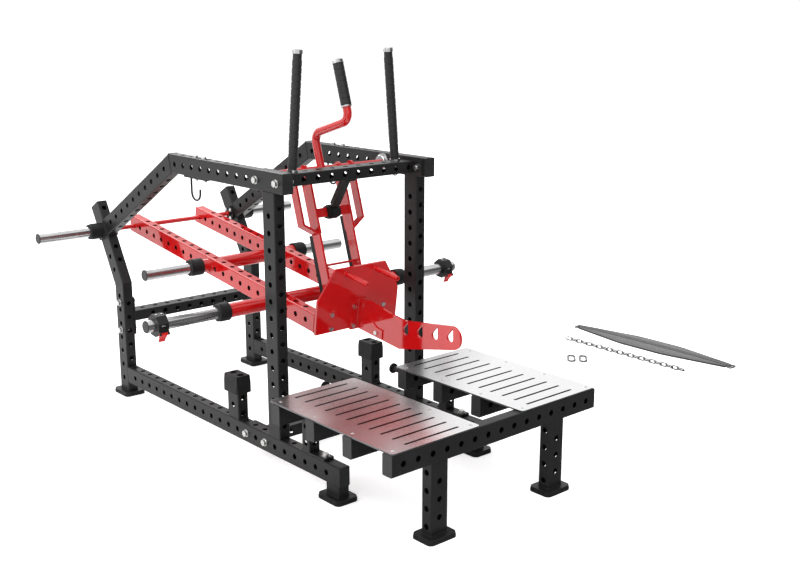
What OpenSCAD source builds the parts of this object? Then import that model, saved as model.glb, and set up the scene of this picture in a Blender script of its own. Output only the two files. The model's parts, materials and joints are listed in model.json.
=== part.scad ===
/* [Tube] */
// Narrow side of the frame tube
tube_w = 50; // [44:1:56]
// Deep side of the frame tube
tube_d = 80; // [76:1:86]
// Wall of the frame tube
tube_wall = 3; // [2:0.5:4]
// Outside corner radius of the frame tube
tube_r = 5; // [4.5:0.5:8]
// Distance from one hole to the next
pitch = 68; // [64:1:72]
// Diameter of the holes in the tubes
hole_d = 23; // [18:1:26]

/* [Frame] */
// Clear width between the two side frames
inner_w = 680; // [660:2:760]
// Length of the front uprights
upright_l = 996; // [960:2:1040]
// Height of the short stubs under the base rails
stub_h = 42; // [30:1:60]
// Length of the base rail in front of the uprights
base_reach = 418; // [400:2:440]
// Distance from the uprights back to the rear posts
rear_reach = 1268; // [1240:2:1300]
// Height of the bend in the rear posts
bend_z = 547; // [530:1:560]
// Length of the slanted part of the rear posts
slant_l = 412; // [380:2:440]
// Tilt of the slanted part and of the diagonals
slant_a = 30; // [28:1:32]
// Distance of the lever pivot from the bend
pivot_s = 279; // [265:1:290]
// Length of the top rail in front of the uprights
top_reach = 94; // [90:1:110]
// Height of the rear cross tube
rear_cross_z = 388; // [375:1:400]

/* [Platform] */
// Width of one tread plate
tread_w = 415; // [380:1:430]
// Length of a tread plate
tread_l = 715; // [710:1:722]
// Thickness of a tread plate
tread_t = 6; // [4:0.5:8]
// Gap between the two tread plates
tread_gap = 220; // [200:2:260]
// Height of the top of the platform
platform_z = 377; // [370:1:390]
// Number of slots in a tread plate
slot_n = 11; // [7:1:11]
// Length of a slot
slot_l = 258; // [200:2:300]
// Width of a slot
slot_w = 11; // [8:0.5:14]
// Distance between the platform joists
joist_step = 215; // [210:1:218]

/* [Lever] */
// Slope of the lever arms at rest
arm_slope = 7.73; // [7:0.01:8]
// Distance between the middles of the lever arms
arm_gap = 370; // [360:1:380]
// Distance from the pivot to the front plate
plate_a = 1476; // [1470:1:1480]
// Thickness of the front plate
plate_t = 10; // [8:1:12]
// Distance from the pivot to the front sleeves
front_sleeve_a = 1188; // [1180:1:1196]
// Distance from the pivot to the middle sleeves
mid_sleeve_a = 670; // [640:1:700]
// Diameter of the pivot shaft
pivot_d = 22; // [18:1:26]
// Thickness of the tongue
tongue_t = 10; // [8:1:12]

/* [Sleeves] */
// Diameter of the chrome sleeves
sleeve_d = 50; // [48:0.5:50.8]
// Bore of the chrome sleeves
sleeve_bore = 42; // [38:1:44]
// Free length of a front sleeve
front_sleeve_l = 319; // [300:1:330]
// Free length of a middle sleeve
mid_sleeve_l = 221; // [205:1:240]
// Free length of a storage sleeve
store_sleeve_l = 254; // [230:1:280]
// Diameter of the rubber collars
collar_d = 72; // [68:1:80]
// Diameter of the red cross tubes on the lever
carrier_d = 60; // [58:1:62]

/* [Lockout] */
// Lean of the lockout frame at rest
lock_lean = 17; // [16.5:0.1:17.5]
// Thickness of the flat bars
bar_t = 10; // [8:1:12]
// Depth of the flat bars
bar_d = 48; // [44:1:50]
// Distance between the inner bars
inner_bar_gap = 176; // [170:1:180]
// Distance between the outer bars
outer_bar_gap = 310; // [300:1:312]
// Diameter of the lockout shaft
lock_shaft_d = 25; // [22:1:28]
// Diameter of the crank tube
crank_d = 34; // [28:1:36]
// Forward reach of the crank
crank_reach = 242; // [220:1:260]

/* [Handles] */
// Diameter of the handle posts
handle_d = 38; // [32:1:42]
// Length of the handle posts
handle_l = 452; // [400:2:500]
// Lean of the handle posts
handle_lean = 4.6; // [3:0.1:6]

/* [Loose pieces] */
// Length of the padded belt
belt_l = 1000; // [950:5:1040]
// Width of the padded belt at its middle
belt_w = 190; // [160:2:200]
// Thickness of the padded belt
belt_t = 16; // [12:1:20]
// Wire of the chain
chain_wire = 6; // [5:0.5:7]
// Number of chain links
chain_n = 22; // [10:1:24]

/* [Hidden] */
fine = 48;
mid_fn = 32;
tiny = 0.3;
// hairline at a mitre, where the weld bead lies
weld = 0.05;
fit = 0.3;
sleeve_seat_d = sleeve_d - 2 * fit;
through = 2;
side_x = inner_w / 2 + tube_w / 2;
outer_x = inner_w / 2 + tube_w;

foot_pad_t = 12;
foot_plate_t = 8;
foot_margin = 25;
foot_r = 18;
foot_h = foot_pad_t + foot_plate_t;
base_z = foot_h + stub_h + tube_d / 2;
base_top = base_z + tube_d / 2;
top_z = base_top + upright_l + tube_d / 2;
upright_y = -208;
post_y = upright_y + rear_reach;
base_front = upright_y - base_reach;
stub_y = base_front + tube_d / 2;
flange_t = 8;
flange_l = 184;
flange_r = 10;

cross_y = -196;
base_cross_y = -72;
top_front = upright_y - top_reach;

pivot_y = post_y + pivot_s * sin(slant_a);
pivot_z = bend_z + pivot_s * cos(slant_a);
knee_y = pivot_y - (top_z - pivot_z) / tan(slant_a);

plug_t = 3;
plug_in = 12;
bolt_d = 16;
bolt_af = 24;
bolt_head = 10;
washer_d = 32;
washer_t = 2.5;
nut_t = 13;
bolt_tail = 6;

joist_top = platform_z - tread_t;
joist_z = joist_top - tube_d / 2;
front_tube_y = -1065;
tread_front = front_tube_y - tube_w / 2;
tread_x = tread_gap / 2 + tread_w / 2;
rear_joist_y = front_tube_y + 3 * joist_step;
leg_x = 307;
front_tube_l = tread_gap + 2 * tread_w;
slot_step = 63;
tread_r = 14;
peg_x = 183;
peg_d = 24;
peg_l = 112;
peg_flange = 44;
post_t = 50;
post_bolt_y = upright_y - 4.5 * pitch;

bumper_y = 91;
cap_top = 334;
cap_h = 74;
cap_wall = 7;
cap_flare = 6;
cap_dimple_d = 30;
cap_dimple_y = 26;
bumper_hole = 62;
bumper_top = cap_top - 34;

carrier_rise = 5;
arm_rear = 52;
arm_x = arm_gap / 2;
arm_end_t = 8;
arm_flange_x = 20;
arm_bolt_x = 50;
arm_bolt_v = 31;
arm_front = plate_a - plate_t - arm_end_t;
arm_hole_a = 40.5;
plate_low = -45;
plate_high = 222;
plate_half = 212;
plate_top_half = 130;
plate_side_v = 97;
lever_peg_x = 78;
lever_peg_v = 197;
lever_peg_d = 20;
lever_peg_l = 140;
tongue_flange_t = 8;
bearing_t = 18;
bearing_flange_t = 12;
bearing_d = 74;
run_gap = 0.08;

front_carrier_l = 890;
mid_carrier_l = 504;
front_collar_l = 51;
mid_collar_l = 62;
store_collar_l = 62;
sleeve_in = 40;
cap_t = 4;
cap_in = 12;

shaft_y = -35;
shaft_z = top_z;
lug_r = 22;
brace_z = 224;
join_z = 267;
crossbar_z = 183;
crossbar_y = -12;
crossbar_h = 38;
crossbar_t = 20;
sleeve_pad_d = 52;
sleeve_pad_l = 60;
stop_gap = 17;
rod_z = 399;
rod_d = 10;
catch_d = 16;
catch_lug_t = 8;
catch_side = 20;
catch_y = -58;
catch_z = -519.3;
hook_gap = 4;
lip_t = 14;
lip_y = 37;
notch_d = 6;
strip_t = 24;
bar_end = -catch_z + catch_d / 2 + hook_gap + lip_t;
lock_bearing_t = 24;
lock_flange_d = 74;
crank_h = 148;
crank_r = 40;
grip_d = 44;
grip_z = 202;
grip_l = 176;
grip_cap = 16;

clamp_l = 44;
clamp_bore = sleeve_d + 2 * fit;
clamp_d = 84;
latch_pin = 6;
latch_lug_t = 8;
latch_lug_r = 6;
latch_out = 6.5;
latch_y = -16;
latch_l = 30;

belt_x = 2200;
belt_y = -150;
chain_x = 1950;
hook_x = 1700;
hook_spot_y = -40;
chain_bend = 9;
chain_straight = 24;
chain_step = chain_straight + 2 * chain_bend - chain_wire - tiny;
chain_lift = chain_bend * sin(45) + chain_wire / 2;

function bend_tan() = tube_d / 2 * tan(slant_a / 2);
function knee_tan() = tube_d / 2 * tan(slant_a / 2);
function lock_world(y, z) = [
    shaft_y + y * cos(lock_lean) + z * sin(lock_lean),
    shaft_z - y * sin(lock_lean) + z * cos(lock_lean)
];
function lever_local(p) = [
    (p[0] - pivot_y) * cos(arm_slope) + (p[1] - pivot_z) * sin(arm_slope),
    (p[1] - pivot_z) * cos(arm_slope) - (p[0] - pivot_y) * sin(arm_slope)
];
catch_at = lever_local(lock_world(catch_y, catch_z));

module section(w, d, r) {
    square([w - 2 * r, d], center = true);
    square([w, d - 2 * r], center = true);
    for (sx = [-1, 1]) for (sy = [-1, 1])
        translate([sx * (w / 2 - r), sy * (d / 2 - r)]) circle(r = r, $fn = mid_fn);
}
module tube_wall_2d(w, d) {
    difference() {
        section(w, d, tube_r);
        section(w - 2 * tube_wall, d - 2 * tube_wall, tube_r - tube_wall);
    }
}
module tube_z(w, d, l) { linear_extrude(l) tube_wall_2d(w, d); }
module tube_y(w, h, l) { rotate([-90, 0, 0]) tube_z(w, h, l); }
module tube_x(d, h, l) { rotate([0, 90, 0]) tube_z(h, d, l); }
module block_z(w, d, l, r) { linear_extrude(l) section(w, d, r); }
module drill_x(l, d = hole_d) { rotate([0, 90, 0]) cylinder(d = d, h = l, center = true, $fn = mid_fn); }
module drill_y(l, d = hole_d) { rotate([90, 0, 0]) cylinder(d = d, h = l, center = true, $fn = mid_fn); }
module drill_z(l, d = hole_d) { cylinder(d = d, h = l, center = true, $fn = mid_fn); }
module sides() { for (s = [-1, 1]) translate([s * side_x, 0, 0]) children(); }
module mirrored() { children(); mirror([1, 0, 0]) children(); }
module left(s) { if (s < 0) children(); else mirror([1, 0, 0]) children(); }

module plug_z(w, d) {
    block_z(w - tiny, d - tiny, plug_t, tube_r);
    translate([0, 0, -plug_in])
        block_z(w - 2 * tube_wall - tiny, d - 2 * tube_wall - tiny, plug_in, tube_r - tube_wall);
}
module bolt_z(grip) {
    cylinder(d = washer_d, h = washer_t, $fn = mid_fn);
    translate([0, 0, washer_t]) cylinder(d = bolt_af / cos(30), h = bolt_head, $fn = 6);
    translate([0, 0, -grip - nut_t - bolt_tail]) cylinder(d = bolt_d, h = grip + nut_t + bolt_tail + washer_t, $fn = mid_fn);
}
module nut_z(grip) {
    translate([0, 0, -grip - nut_t]) difference() {
        cylinder(d = bolt_af / cos(30), h = nut_t, $fn = 6);
        translate([0, 0, -through]) cylinder(d = bolt_d + tiny, h = nut_t + 2 * through, $fn = mid_fn);
    }
}
module bolt_out_x(grip) { rotate([0, -90, 0]) bolt_z(grip); }
module nut_out_x(grip) { rotate([0, -90, 0]) nut_z(grip); }

module base_rail() {
    color("dimgray") translate([-side_x, 0, 0]) difference() {
        union() {
            translate([0, base_front, base_z]) tube_y(tube_w, tube_d, post_y - tube_d / 2 - base_front);
            translate([0, stub_y, foot_h]) tube_z(tube_w, tube_d, stub_h + tube_wall);
        }
        for (y = [upright_y - 5 * pitch : pitch : post_y - tube_d]) {
            translate([0, y, base_z]) drill_x(tube_w + through);
            if (abs(y + pitch / 2 - upright_y) > tube_d / 2 + hole_d / 2)
                translate([0, y + pitch / 2, base_z + tube_d / 2]) drill_z(tube_d / 2);
        }
    }
}
module front_upright() {
    color("dimgray") translate([-side_x, upright_y, 0]) difference() {
        translate([0, 0, base_top]) tube_z(tube_w, tube_d, upright_l);
        for (z = [base_top + 89 : pitch : base_top + upright_l - 30]) translate([0, 0, z]) drill_x(tube_w + through);
        for (z = [base_top + 55 : pitch : base_top + upright_l - 30]) translate([0, 0, z]) drill_y(tube_d + through);
    }
}
module lower_post() {
    difference() {
        translate([0, post_y, foot_h]) tube_z(tube_w, tube_d, bend_z - foot_h + tube_d);
        translate([0, post_y, bend_z]) rotate([-slant_a / 2, 0, 0])
            translate([-tube_d, -2 * tube_d, -weld]) cube([2 * tube_d, 4 * tube_d, 3 * tube_d]);
    }
}
module upper_post() {
    difference() {
        translate([0, post_y, bend_z]) rotate([-slant_a, 0, 0]) translate([0, 0, -tube_d]) tube_z(tube_w, tube_d, slant_l + tube_d);
        translate([0, post_y, bend_z]) rotate([-slant_a / 2, 0, 0])
            translate([-tube_d, -2 * tube_d, -3 * tube_d]) cube([2 * tube_d, 4 * tube_d, 3 * tube_d]);
    }
}
module rear_post() {
    color("dimgray") translate([-side_x, 0, 0]) difference() {
        union() {
            lower_post();
            upper_post();
        }
        for (z = [rear_cross_z - 4.5 * pitch : pitch : bend_z - 40]) translate([0, post_y, z]) drill_x(tube_w + through);
        for (z = [rear_cross_z - 3 * pitch : pitch : bend_z - 60])
            translate([0, post_y, z]) drill_y(tube_d + through);
        for (dz = [-1, 1]) translate([0, post_y, rear_cross_z + dz * pitch]) drill_x(tube_w + through, bolt_d + 1);
        translate([0, post_y, bend_z]) rotate([-slant_a, 0, 0]) {
            for (k = [1 : 2]) translate([0, 0, pivot_s - 2 * pitch - (k - 1) * pitch]) drill_x(tube_w + through);
            for (z = [pivot_s - 3 * pitch + pitch / 2, pivot_s - 2 * pitch + pitch / 2, slant_l - pitch / 2]) translate([0, 0, z]) drill_y(tube_d + through);
        }
    }
}
module flat_rail() {
    difference() {
        translate([0, top_front, top_z]) tube_y(tube_w, tube_d, knee_y - top_front + tube_d);
        translate([0, knee_y, top_z]) rotate([-slant_a / 2, 0, 0])
            translate([-tube_d, -weld, -2 * tube_d]) cube([2 * tube_d, 3 * tube_d, 4 * tube_d]);
    }
}
module diagonal() {
    run = (pivot_y - knee_y) / cos(slant_a) - tube_d / 2;
    difference() {
        translate([0, knee_y, top_z]) rotate([-slant_a, 0, 0]) translate([0, -tube_d, 0]) tube_y(tube_w, tube_d, run + tube_d);
        translate([0, knee_y, top_z]) rotate([-slant_a / 2, 0, 0])
            translate([-tube_d, -3 * tube_d, -2 * tube_d]) cube([2 * tube_d, 3 * tube_d, 4 * tube_d]);
    }
}
module top_rail() {
    color("dimgray") translate([-side_x, 0, 0]) difference() {
        union() {
            flat_rail();
            diagonal();
        }
        for (y = [cross_y - pitch : pitch : knee_y - 20])
            if (abs(y - cross_y) > pitch + 1) translate([0, y, top_z]) drill_x(tube_w + through);
        for (dy = [-1, 1]) translate([0, cross_y + dy * pitch, top_z]) drill_x(tube_w + through, bolt_d + 1);
        for (y = [cross_y + 3.5 * pitch : pitch : knee_y - 40]) translate([0, y, top_z]) drill_z(tube_d + through);
        for (d = [-1, 1]) translate([0, hook_y + d * pitch / 2, top_z]) drill_z(tube_d + through, small_d + 1);
        translate([0, pivot_y, pivot_z]) rotate([-slant_a, 0, 0]) for (k = [0 : 9])
            translate([0, -(tube_d + 27 + k * pitch), 0]) drill_x(tube_w + through);
        translate([0, pivot_y, pivot_z]) rotate([-slant_a, 0, 0]) for (k = [0 : 8])
            translate([0, -(tube_d + 27 + (k + 0.5) * pitch), 0]) drill_z(tube_d + through);
    }
}
module flange_x() {
    rotate([0, 90, 0]) linear_extrude(flange_t) difference() {
        section(tube_d, flange_l, flange_r);
        for (s = [-1, 1]) translate([0, s * pitch]) circle(d = bolt_d + 1, $fn = mid_fn);
    }
}
module cross_member(n) {
    // lies flat between the side frames, with a bolted flange at each end
    difference() {
        translate([-inner_w / 2 + flange_t, 0, 0]) tube_x(tube_d, tube_w, inner_w - 2 * flange_t);
        for (k = [-n : n]) translate([(k + 0.5) * pitch, 0, 0]) if (abs((k + 0.5) * pitch) < inner_w / 2 - 20) {
            drill_y(tube_d + through);
        }
        children();
    }
}
module front_cross_tube() {
    color("dimgray") translate([0, cross_y, top_z]) {
        cross_member(4) for (k = [-3 : 3]) translate([k * pitch, 0, 0]) drill_z(tube_w + through);
        translate([-inner_w / 2, 0, 0]) flange_x();
        translate([inner_w / 2 - flange_t, 0, 0]) flange_x();
    }
}
module base_cross_tube() {
    color("dimgray") translate([0, base_cross_y, base_z]) {
        cross_member(4) for (k = [-4 : 4]) translate([k * pitch, 0, 0]) drill_z(tube_w + through);
        translate([-inner_w / 2, 0, 0]) flange_x();
        translate([inner_w / 2 - flange_t, 0, 0]) flange_x();
    }
}
module rear_cross_tube() {
    color("dimgray") translate([0, post_y, rear_cross_z]) {
        cross_member(4) for (k = [-4 : 4]) translate([k * pitch, 0, 0]) drill_z(tube_w + through);
        translate([-inner_w / 2, 0, 0]) rotate([90, 0, 0]) flange_x();
        translate([inner_w / 2 - flange_t, 0, 0]) rotate([90, 0, 0]) flange_x();
    }
}

module platform_front_tube() {
    color("dimgray") difference() {
        union() {
            translate([-front_tube_l / 2, front_tube_y, joist_z]) tube_x(tube_w, tube_d, front_tube_l);
            for (s = [-1, 1]) translate([s * leg_x, front_tube_y, foot_h])
                tube_z(tube_d, tube_w, joist_z - tube_d / 2 - foot_h + tube_wall);
        }
        for (k = [-7 : 7]) translate([k * pitch, front_tube_y, joist_z]) drill_y(tube_w + through);
        for (s = [-1, 1]) for (k = [0 : 3]) translate([s * leg_x, front_tube_y, foot_h + 31 + k * pitch]) drill_x(tube_d + through);
        for (s = [-1, 1]) for (k = [0 : 2]) translate([s * leg_x, front_tube_y, foot_h + 65 + k * pitch]) drill_y(tube_w + through);
    }
}
module platform_joists() {
    joist_l = tread_w;
    stem_f = front_tube_y + tube_w / 2;
    stem_l = rear_joist_y - stem_f;
    color("dimgray") difference() {
        union() {
            for (k = [1 : 3]) translate([-tread_gap / 2 - tread_w, front_tube_y + k * joist_step, joist_z])
                rotate([0, 90, 0]) block_z(tube_d, tube_w, joist_l, tube_r);
            translate([-leg_x, stem_f, joist_z]) rotate([-90, 0, 0]) block_z(tube_w, tube_d, stem_l, tube_r);
        }
        for (k = [1 : 3]) translate([-tread_gap / 2 - tread_w - 1, front_tube_y + k * joist_step, joist_z])
            rotate([0, 90, 0]) block_z(tube_d - 2 * tube_wall, tube_w - 2 * tube_wall, joist_l + 2, tube_r - tube_wall);
        translate([-leg_x, stem_f - 1, joist_z]) rotate([-90, 0, 0])
            block_z(tube_w - 2 * tube_wall, tube_d - 2 * tube_wall, stem_l, tube_r - tube_wall);
        for (k = [1 : 3]) for (i = [-2 : 2]) translate([-tread_x + 10 + (i + (i < 0 ? 0.1 : 0.1)) * pitch, front_tube_y + k * joist_step, joist_z])
            drill_y(tube_w + through);
    }
}
module platform_posts() {
    post_h = joist_z - tube_d / 2 - base_top;
    color("dimgray") sides() translate([0, rear_joist_y, base_top]) {
        tube_wall_box = post_t - 2 * tube_wall;
        difference() {
            union() {
                block_z(post_t, post_t, post_h, tube_r);
                translate([0, (post_bolt_y - 22 - rear_joist_y + post_t / 2) / 2, 0])
                    block_z(tube_w, rear_joist_y + post_t / 2 - post_bolt_y + 22, flange_t, tube_r);
            }
            translate([0, 0, flange_t]) block_z(tube_wall_box, tube_wall_box, post_h, tube_r - tube_wall);
            translate([0, post_bolt_y - rear_joist_y, 0]) drill_z(3 * flange_t, bolt_d + 1);
            for (z = [post_h / 2 - pitch / 2, post_h / 2 + pitch / 2]) translate([0, 0, z]) {
                drill_x(post_t + through);
                drill_y(post_t + through);
            }
        }
    }
}
module tread_plate() {
    color("silver") translate([-tread_x, tread_front, joist_top]) difference() {
        translate([0, tread_l / 2, 0]) block_z(tread_w, tread_l, tread_t, tread_r);
        for (i = [0 : slot_n - 1]) translate([11, tread_l / 2 + (i - (slot_n - 1) / 2) * slot_step, 0]) {
            cube([slot_l - slot_w, slot_w, 4 * tread_t], center = true);
            for (s = [-1, 1]) translate([s * (slot_l - slot_w) / 2, 0, 0]) drill_z(4 * tread_t, slot_w);
        }
        for (p = screw_spots()) translate([p[0], p[1], 0]) drill_z(4 * tread_t, screw_d + 2 * fit);
    }
}
screw_d = 8;
screw_head = 14;
function screw_spots() = [
    for (k = [0 : 3]) for (s = [-1, 1]) [s * (tread_w / 2 - 24), (k * joist_step) + tube_w / 2]
];
module tread_screws() {
    color("silver") mirrored() translate([-tread_x, tread_front, joist_top]) for (p = screw_spots())
        translate([p[0], p[1], 0]) {
            translate([0, 0, tread_t]) intersection() {
                cylinder(d = screw_head, h = 2.5, $fn = mid_fn);
                translate([0, 0, -11]) sphere(r = 13.2, $fn = fine);
            }
            cylinder(d = screw_d, h = tread_t + 0.5, $fn = mid_fn);
        }
}
module feet_spots() {
    for (s = [-1, 1]) translate([s * leg_x, front_tube_y, 0]) rotate([0, 0, 90]) children();
    for (s = [-1, 1]) translate([s * side_x, stub_y, 0]) children();
    for (s = [-1, 1]) translate([s * side_x, post_y, 0]) children();
}
module foot_plates() {
    color("dimgray") feet_spots() translate([0, 0, foot_pad_t])
        block_z(tube_w + 2 * foot_margin, tube_d + 2 * foot_margin, foot_plate_t, foot_r);
}
module foot_pads() {
    color("black") feet_spots() {
        block_z(tube_w + 2 * foot_margin + 4, tube_d + 2 * foot_margin + 4, foot_pad_t, foot_r + 2);
    }
}
module frame_end_plugs() {
    color("black") {
        sides() translate([0, base_front, base_z]) rotate([90, 0, 0]) plug_z(tube_w, tube_d);
        sides() translate([0, top_front, top_z]) rotate([90, 0, 0]) plug_z(tube_w, tube_d);
        sides() translate([0, post_y, bend_z]) rotate([-slant_a, 0, 0]) translate([0, 0, slant_l]) plug_z(tube_w, tube_d);
        for (s = [-1, 1]) translate([s * front_tube_l / 2, front_tube_y, joist_z]) rotate([0, s * 90, 0]) plug_z(tube_d, tube_w);
        for (k = [1 : 3]) for (s = [-1, 1]) for (e = [0, 1])
            translate([s * (tread_gap / 2 + e * tread_w), front_tube_y + k * joist_step, joist_z])
                rotate([0, s * (e * 2 - 1) * 90, 0]) plug_z(tube_d, tube_w);
    }
}
module frame_bolt_spots() {
    mirrored() {
        for (d = [-1, 1]) {
            translate([-outer_x, cross_y + d * pitch, top_z]) children();
            translate([-outer_x, base_cross_y + d * pitch, base_z]) children();
            translate([-outer_x, post_y, rear_cross_z + d * pitch]) children();
        }
    }
}
module hook_bolt_spots() {
    sides() for (d = [-1, 1]) translate([0, hook_y + d * pitch / 2, top_z + tube_d / 2]) children();
}
module frame_bolts() {
    color("silver") {
        frame_bolt_spots() bolt_out_x(tube_w + flange_t);
        hook_bolt_spots() {
            cylinder(d = washer_d - 6, h = 2, $fn = mid_fn);
            translate([0, 0, 2]) small_bolt(tube_d + hook_plate_t + 14);
        }
        sides() translate([0, post_bolt_y, base_top + flange_t]) bolt_z(flange_t + tube_wall);
        mirrored() for (d = bearing_bolts()) translate([-inner_w / 2 + bearing_flange_t, pivot_y + d[0], pivot_z + d[1]])
            rotate([0, 90, 0]) small_bolt(bearing_flange_t);
    }
}
module frame_nuts() {
    color("silver") {
        frame_bolt_spots() nut_out_x(tube_w + flange_t);
        hook_bolt_spots() translate([0, 0, -tube_d - hook_plate_t - 8]) difference() {
            cylinder(d = 17 / cos(30), h = 8, $fn = 6);
            translate([0, 0, -through]) cylinder(d = small_d + tiny, h = 8 + 2 * through, $fn = mid_fn);
        }
        sides() translate([0, post_bolt_y, base_top + flange_t]) nut_z(flange_t + tube_wall);
    }
}
small_d = 10;
function bearing_bolts() = [for (a = [45 : 90 : 315]) [bearing_bolt_r * cos(a), bearing_bolt_r * sin(a)]];
bearing_bolt_r = 29;
module small_bolt(l) {
    translate([0, 0, 0]) cylinder(d = 17 / cos(30), h = 6.5, $fn = 6);
    translate([0, 0, -l]) cylinder(d = small_d, h = l + 1, $fn = mid_fn);
}
module bumper_posts() {
    color("dimgray") sides() translate([0, bumper_y, base_top]) difference() {
        tube_z(tube_w, tube_d, bumper_top - base_top);
        translate([0, 0, bumper_hole]) drill_x(tube_w + through);
        for (s = [-1, 1]) translate([0, 0, bumper_hole + s * pitch / 2]) drill_y(tube_d + through);
    }
}
module bumper_caps() {
    taper = atan(cap_flare / cap_h);
    cw = tube_w + 2 * cap_wall;
    cd = tube_d + 2 * cap_wall;
    color("black") sides() translate([0, bumper_y, cap_top - cap_h]) difference() {
        block_z(cw + 2 * cap_flare, cd + 2 * cap_flare, cap_h, 13);
        for (a = [0, 180]) rotate(a) {
            translate([cw / 2 + cap_flare, 0, 0]) rotate([0, -taper, 0]) translate([cw, 0, 0]) cube([2 * cw, 3 * cd, 4 * cap_h], center = true);
            translate([0, cd / 2 + cap_flare, 0]) rotate([taper, 0, 0]) translate([0, cd, 0]) cube([3 * cw, 2 * cd, 4 * cap_h], center = true);
        }
        translate([0, 0, -1]) block_z(tube_w + 2 * fit, tube_d + 2 * fit, bumper_top - (cap_top - cap_h) + 1 + fit, tube_r);
        for (s = [-1, 1]) translate([0, s * cap_dimple_y, cap_h - cap_dimple_d / 2]) cylinder(d = cap_dimple_d, h = cap_dimple_d, $fn = mid_fn);
    }
}
module band_pegs() {
    color("black") mirrored() translate([-peg_x, rear_joist_y + tube_w / 2, joist_z]) rotate([-90, 0, 0]) {
        cylinder(d = peg_d, h = peg_l, $fn = fine);
        cylinder(d = peg_flange, h = 4, $fn = fine);
        translate([0, 0, peg_l]) cylinder(d = peg_flange, h = 6, $fn = fine);
    }
}
module handle_at() {
    translate([-handle_x, cross_y, top_z + tube_w / 2]) rotate([0, handle_lean, 0]) children();
}
handle_ring = 10;
handle_x = inner_w / 2 - 76;
module handle_posts() {
    color("black") mirrored() handle_at() translate([0, 0, handle_ring]) {
        cylinder(d = handle_d - 3, h = handle_l - handle_ring, $fn = fine);
        for (i = [0 : 14]) translate([0, 0, 10 + i * (handle_l - handle_ring - 30) / 15])
            cylinder(d = handle_d, h = (handle_l - handle_ring - 30) / 15 - 4, $fn = fine);
    }
}
module handle_caps() {
    color("silver") mirrored() handle_at() {
        translate([0, 0, handle_l]) {
            cylinder(d = handle_d + 4, h = 14, $fn = fine);
            translate([0, 0, 14]) cylinder(d1 = handle_d + 4, d2 = handle_d - 4, h = 3, $fn = fine);
        }
        difference() {
            translate([0, 0, -6]) cylinder(d = handle_d + 6, h = handle_ring + 6, $fn = fine);
            rotate([0, -handle_lean, 0]) translate([0, 0, -20]) cube([90, 90, 40], center = true);
        }
    }
    color("silver") mirrored() translate([-handle_x, cross_y, top_z - tube_w / 2]) {
        difference() {
            sphere(d = 26, $fn = fine);
            translate([0, 0, 20]) cube([60, 60, 40], center = true);
        }
    }
}
hook_wire = 9;
hook_room = 200;
hook_y = cross_y + (floor((knee_y - hook_room - cross_y) / pitch) + 0.5) * pitch;
hook_plate_t = 6;
hook_plate_l = 182;
hook_drop = 62;
hook_r = 34;
hook_tip = 12;
module belt_hook_path() {
    // wire drop, bend and upturned tip
    translate([0, 0, -hook_drop]) cylinder(d = hook_wire, h = hook_drop, $fn = mid_fn);
    translate([0, -hook_r, -hook_drop]) rotate([0, 90, 0]) rotate([0, 0, -90]) rotate_extrude(angle = 180, $fn = fine)
        translate([hook_r, 0]) circle(d = hook_wire, $fn = mid_fn);
    translate([0, -2 * hook_r, -hook_drop]) cylinder(d = hook_wire, h = hook_tip, $fn = mid_fn);
    translate([0, -2 * hook_r, hook_tip - hook_drop]) sphere(d = hook_wire, $fn = mid_fn);
}
module belt_hooks() {
    color("black") sides() translate([0, hook_y, top_z - tube_d / 2]) {
        translate([0, 0, -hook_plate_t]) difference() {
            translate([0, hook_plate_l / 2 - pitch / 2 - 42, 0]) block_z(tube_w - 4, hook_plate_l, hook_plate_t, 8);
            for (s = [-1, 1]) translate([0, s * pitch / 2, 0]) drill_z(30, small_d + 1);
        }
        translate([0, hook_plate_l - pitch / 2 - 42 - 28, -hook_plate_t]) belt_hook_path();
    }
}
module sleeve_x(x0, x1, x2) {
    // chrome tube from x0 to x1, and its seat from there inward to x2, on the left side
    translate([x0, 0, 0]) rotate([0, 90, 0]) difference() {
        union() {
            cylinder(d = sleeve_d, h = x1 - x0, $fn = fine);
            cylinder(d = sleeve_seat_d, h = x2 - x0, $fn = fine);
        }
        translate([0, 0, -1]) cylinder(d = sleeve_bore, h = x2 - x0 + 2, $fn = fine);
    }
}
module collar_x(x0, l) {
    translate([x0, 0, 0]) rotate([0, 90, 0]) rotate_extrude($fn = fine) difference() {
        union() {
            translate([0, 3]) square([collar_d / 2, l - 3]);
            square([collar_d / 2 - 3, l]);
            translate([collar_d / 2 - 3, 3]) circle(r = 3, $fn = mid_fn);
            translate([0, 14]) square([collar_d / 2 + 2, l - 14]);
        }
        square([sleeve_d, 3 * l], center = true);
        translate([-2 * collar_d, -l]) square([2 * collar_d, 3 * l]);
    }
}
module sleeve_cap(x0) {
    translate([x0, 0, 0]) rotate([0, 90, 0]) {
        translate([0, 0, -cap_t]) cylinder(d1 = sleeve_d - 4, d2 = sleeve_d, h = cap_t, $fn = fine);
        cylinder(d = sleeve_bore - 2 * fit, h = cap_in, $fn = fine);
    }
}
store_x0 = -outer_x - flange_t - store_collar_l - store_sleeve_l;
module storage_sleeves() {
    color("silver") mirrored() translate([0, pivot_y, pivot_z]) sleeve_x(store_x0 + cap_t, -outer_x - flange_t - store_collar_l, -outer_x - flange_t);
    color("dimgray") mirrored() translate([-outer_x - flange_t, pivot_y, pivot_z])
        rotate([-slant_a, 0, 0]) rotate([0, 90, 0]) linear_extrude(flange_t) section(tube_d, tube_d, flange_r);
}
module storage_collars() {
    color("black") mirrored() translate([0, pivot_y, pivot_z]) collar_x(-outer_x - flange_t - store_collar_l, store_collar_l);
}
module storage_sleeve_caps() {
    color("black") mirrored() translate([0, pivot_y, pivot_z]) sleeve_cap(store_x0 + cap_t);
}
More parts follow.
